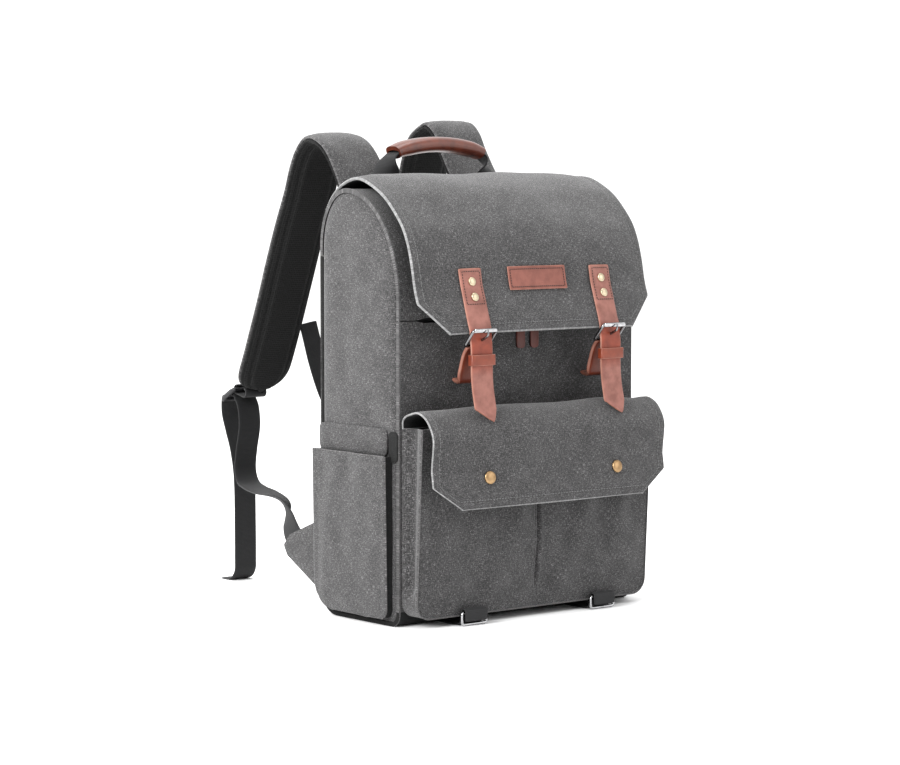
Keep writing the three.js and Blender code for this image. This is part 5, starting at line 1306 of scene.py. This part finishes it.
def adjuster(side, name):
    """A plastic frame with three bars, and the belt that holds its top bar to the padded strap."""
    x0 = side * ADJUSTER_X
    for number, down in enumerate((-BAR_PITCH, 0, BAR_PITCH)):
        at = (x0, *(MIDDLE_BAR + WAY * down))
        bar = bar_x(f"adjuster_bar_{number}_{name}", at, ADJUSTER_BAR / 2 + 0.2, ADJUSTER_WIDTH - 4, PLASTIC)
    obj = wire_ring(f"adjuster_frame_{name}", (x0, *MIDDLE_BAR), (1, 0, 0), (0, *WAY), ADJUSTER_WIDTH,
                    ADJUSTER_LENGTH, ADJUSTER_BAR + 0.6, PLASTIC)
    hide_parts(f"adjuster_{name}")

    turn = math.degrees(math.atan2(*(TOP_BAR - LOOP_ROOT)[::-1]))
    line = resample(np.vstack([quarter(*TOP_BAR, LOOP_RADIUS, turn + 90, turn - 90, 14),
                               quarter(*LOOP_ROOT, LOOP_RADIUS, turn - 90, turn - 268, 14)]), 60)
    grid, _, _ = band(line, WEB_HALF, 9, centre=x0)
    obj = sheet(f"adjuster_loop_web_{name}", grid, WEB, [WEBBING], round_rim=0.3)
    canvas_piece(obj, f"adjuster_loop_{name}")


def webbing(side, name):
    """Webbing from the wing up and over the adjuster's middle bar, its tail down to the floor."""
    wing_x = WING_X - WING_SEAM - 2 * GAP - WEB / 2

    def at(out, back, up, roll):
        x = ADJUSTER_X + out * (wing_x - ADJUSTER_X)
        return (side * x, BACK + back * (MIDDLE_BAR[0] - BACK), up * MIDDLE_BAR[1], -side * roll)

    wrap = ADJUSTER_THICK / 2 + GAP + WEB
    inside = BAR_PITCH - ADJUSTER_BAR / 2 - GAP - WEB
    turns = ((inside - 0.4, -4), (inside, -1), (inside, 0.3), (inside + 1.4, 0.95),
             (BAR_PITCH, 1), (1.5 * BAR_PITCH, 1), (2 * BAR_PITCH, 1), (2.35 * BAR_PITCH, 0.9))
    over = [(side * ADJUSTER_X, *(TOP_BAR + WAY * down + OUT * out * wrap), 0) for down, out in turns]
    tail = [at(*row) for row in WEB_TAIL]
    x, y = tail[-1][:2]
    laid = [(x, y + back * TAIL_END, WEB / 2 + up * TAIL_END, 0) for back, up in TAIL_ROUTE]
    rows = [at(*row) for row in WEB_RUN] + over + tail + laid
    ribbon(f"harness_web_{name}", rows, 2 * WEB_HALF, f"webbing_{name}", 300)

    shape = np.array(WING_SHAPE) * (WING_LENGTH, WING_HEIGHT) + (BACK + WING_SEAM, WING_FOOT)
    outline = resample(np.vstack([shape, shape[:1]]), 121)[:-1]
    obj = pan(f"wing_cloth_{name}", side, WING_X + WING_SEAM, outline, lambda y, z, r: -0.5 * r ** 10, 2.4,
              [CANVAS, PIPING])
    canvas_piece(obj, f"wing_tab_{name}")


for side, name in SIDES:
    adjuster(side, name)
    webbing(side, name)


STERNUM_WIDTH = 20.0
CLIP_WIDTH, CLIP_HEIGHT, CLIP_REACH = 30.0, 24.0, 15.6
STERNUM_ROUTE = (
    # share of the way out to the strap's edge, shares of SHOULDER_REACH and SHOULDER_CREST
    (0.795, 0.818, 0.582), (0.74, 0.803, 0.545), (0.68, 0.788, 0.505), (0.6, 0.768, 0.462),
    (0.5, 0.753, 0.426), (0.4, 0.748, 0.412),
)


def sternum():
    """The chest strap: webbing from either padded strap to a plastic buckle between them."""
    out, back, up = np.array(STERNUM_ROUTE).T
    x, y, z = out * (SHOULDER_X - SHOULDER_HALF), BACK + back * SHOULDER_REACH, up * SHOULDER_CREST
    for side, name in SIDES:
        route = [*np.stack([side * x, y, z, 0 * x], 1), (side * CLIP_REACH, y[-1], z[-1], 0)]
        ribbon(f"sternum_web_{name}", route, STERNUM_WIDTH, f"sternum_webbing_{name}", 60, facing=(0, 1, 0))
    levels = ((-4.5, 0.9), (-3.9, 0.98), (0, 1), (3.9, 0.98), (4.5, 0.9))
    obj = slab("sternum_clip", rounded(CLIP_WIDTH, CLIP_HEIGHT, 4, 5), (0, y[-1], z[-1]), levels, PLASTIC)
    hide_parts("sternum_buckle")


sternum()


# Straps under the base

BASE_STRAP_X, BASE_STRAP_OUT = 80.0, 30.0
BASE_BUCKLE_WIDTH, BASE_BUCKLE_HEIGHT, BASE_WIRE = 32.0, 14.0, 2.8


def base_strap(side, name):
    """Webbing along the underside that comes up and over the top of a standing wire buckle."""
    x0, y = side * BASE_STRAP_X, FRONT - BASE_STRAP_OUT
    top = GAP / 2 + BASE_BUCKLE_HEIGHT - BASE_WIRE / 2
    ring = wire_ring(f"base_buckle_wire_{name}", (x0, y, (GAP + BASE_BUCKLE_HEIGHT) / 2), (1, 0, 0),
                     (0, 0, 1), BASE_BUCKLE_WIDTH, BASE_BUCKLE_HEIGHT, BASE_WIRE, BRIGHT_STEEL)
    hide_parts(f"base_buckle_{name}")
    reach = BASE_WIRE / math.sqrt(2) + GAP + WEB / 2 + 0.3
    floor = WEB / 2
    under = ((BACK - BACK_CORNER, floor), (0, floor), (FRONT, floor), (y + 13, floor), (y + 7, floor + 0.6),
             (y + 4.4, floor + 3.4), (y + reach, top - 3.5))
    wrap = [(y + reach * out, top + reach * up)
            for out, up in ((1, 0), (0.7, 0.72), (0, 1), (-0.7, 0.72), (-1, 0))]
    route = [*under, *wrap, (y - reach, top - 7.5)]
    ribbon(f"base_web_{name}", [(x0, a, b, 0) for a, b in route], 2 * WEB_HALF, f"base_strap_{name}", 160)


for side, name in SIDES:
    base_strap(side, name)


# Studio

LAMPS = (
    # name, place, size, power
    ("key", (-3.0, -0.5, 1.8), 1.6, 105), ("fill", (1.6, -3.0, 1.6), 2.2, 14),
    ("top", (0.2, 0.3, 3.0), 2.0, 30), ("rear", (-0.8, 2.6, 1.8), 1.6, 25),
)


def studio():
    """A white sweep of floor and sky, lit from the left."""
    bpy.ops.mesh.primitive_plane_add(size=16)
    floor = bpy.context.object
    floor.name = "floor"
    paper, tree, shader = surface("white_paper", 0.85)
    grain = add(tree, "ShaderNodeTexNoise", {"Scale": 3.0})
    paint(tree, shader, ramp(tree, grain.outputs[0], ((0.0, (0.91, 0.91, 0.91)), (1.0, (0.93, 0.93, 0.93)))))
    floor.data.materials.append(paper)

    world = bpy.context.scene.world or bpy.data.worlds.new("studio")
    bpy.context.scene.world = world
    world.use_nodes = True
    sky = world.node_tree.nodes["Background"]
    sky.inputs[0].default_value = (1, 1, 1, 1)
    sky.inputs[1].default_value = 1.12

    for label, place, size, power in LAMPS:
        light = bpy.data.lights.new(label, "AREA")
        light.energy = power
        light.size = size
        lamp = bpy.data.objects.new(label, light)
        lamp.location = place
        lamp.rotation_euler = (Vector((0, 0, 0.2)) - Vector(place)).to_track_quat("-Z", "Y").to_euler()
        bpy.context.scene.collection.objects.link(lamp)

    view = bpy.context.scene.view_settings
    view.view_transform = "Standard"
    view.look = "Medium High Contrast"


def photo_camera():
    """The photograph's view: 39 degrees round to the bag's left, 2.6 m away, a long lens."""
    azimuth, elevation, distance = math.radians(-39.22), math.radians(4.33), 2.633
    target = Vector((-0.0845, -0.060, 0.2243))
    level = math.cos(elevation)
    back = Vector((math.sin(azimuth) * level, -math.cos(azimuth) * level, math.sin(elevation)))
    lens = bpy.data.cameras.new("photo_lens")
    lens.lens = 113.3
    lens.sensor_width = 36
    camera = bpy.data.objects.new("photo_camera", lens)
    camera.location = target + back * distance
    camera.rotation_euler = (-back).to_track_quat("-Z", "Y").to_euler()
    bpy.context.scene.collection.objects.link(camera)
    bpy.context.scene.camera = camera


studio()
photo_camera()
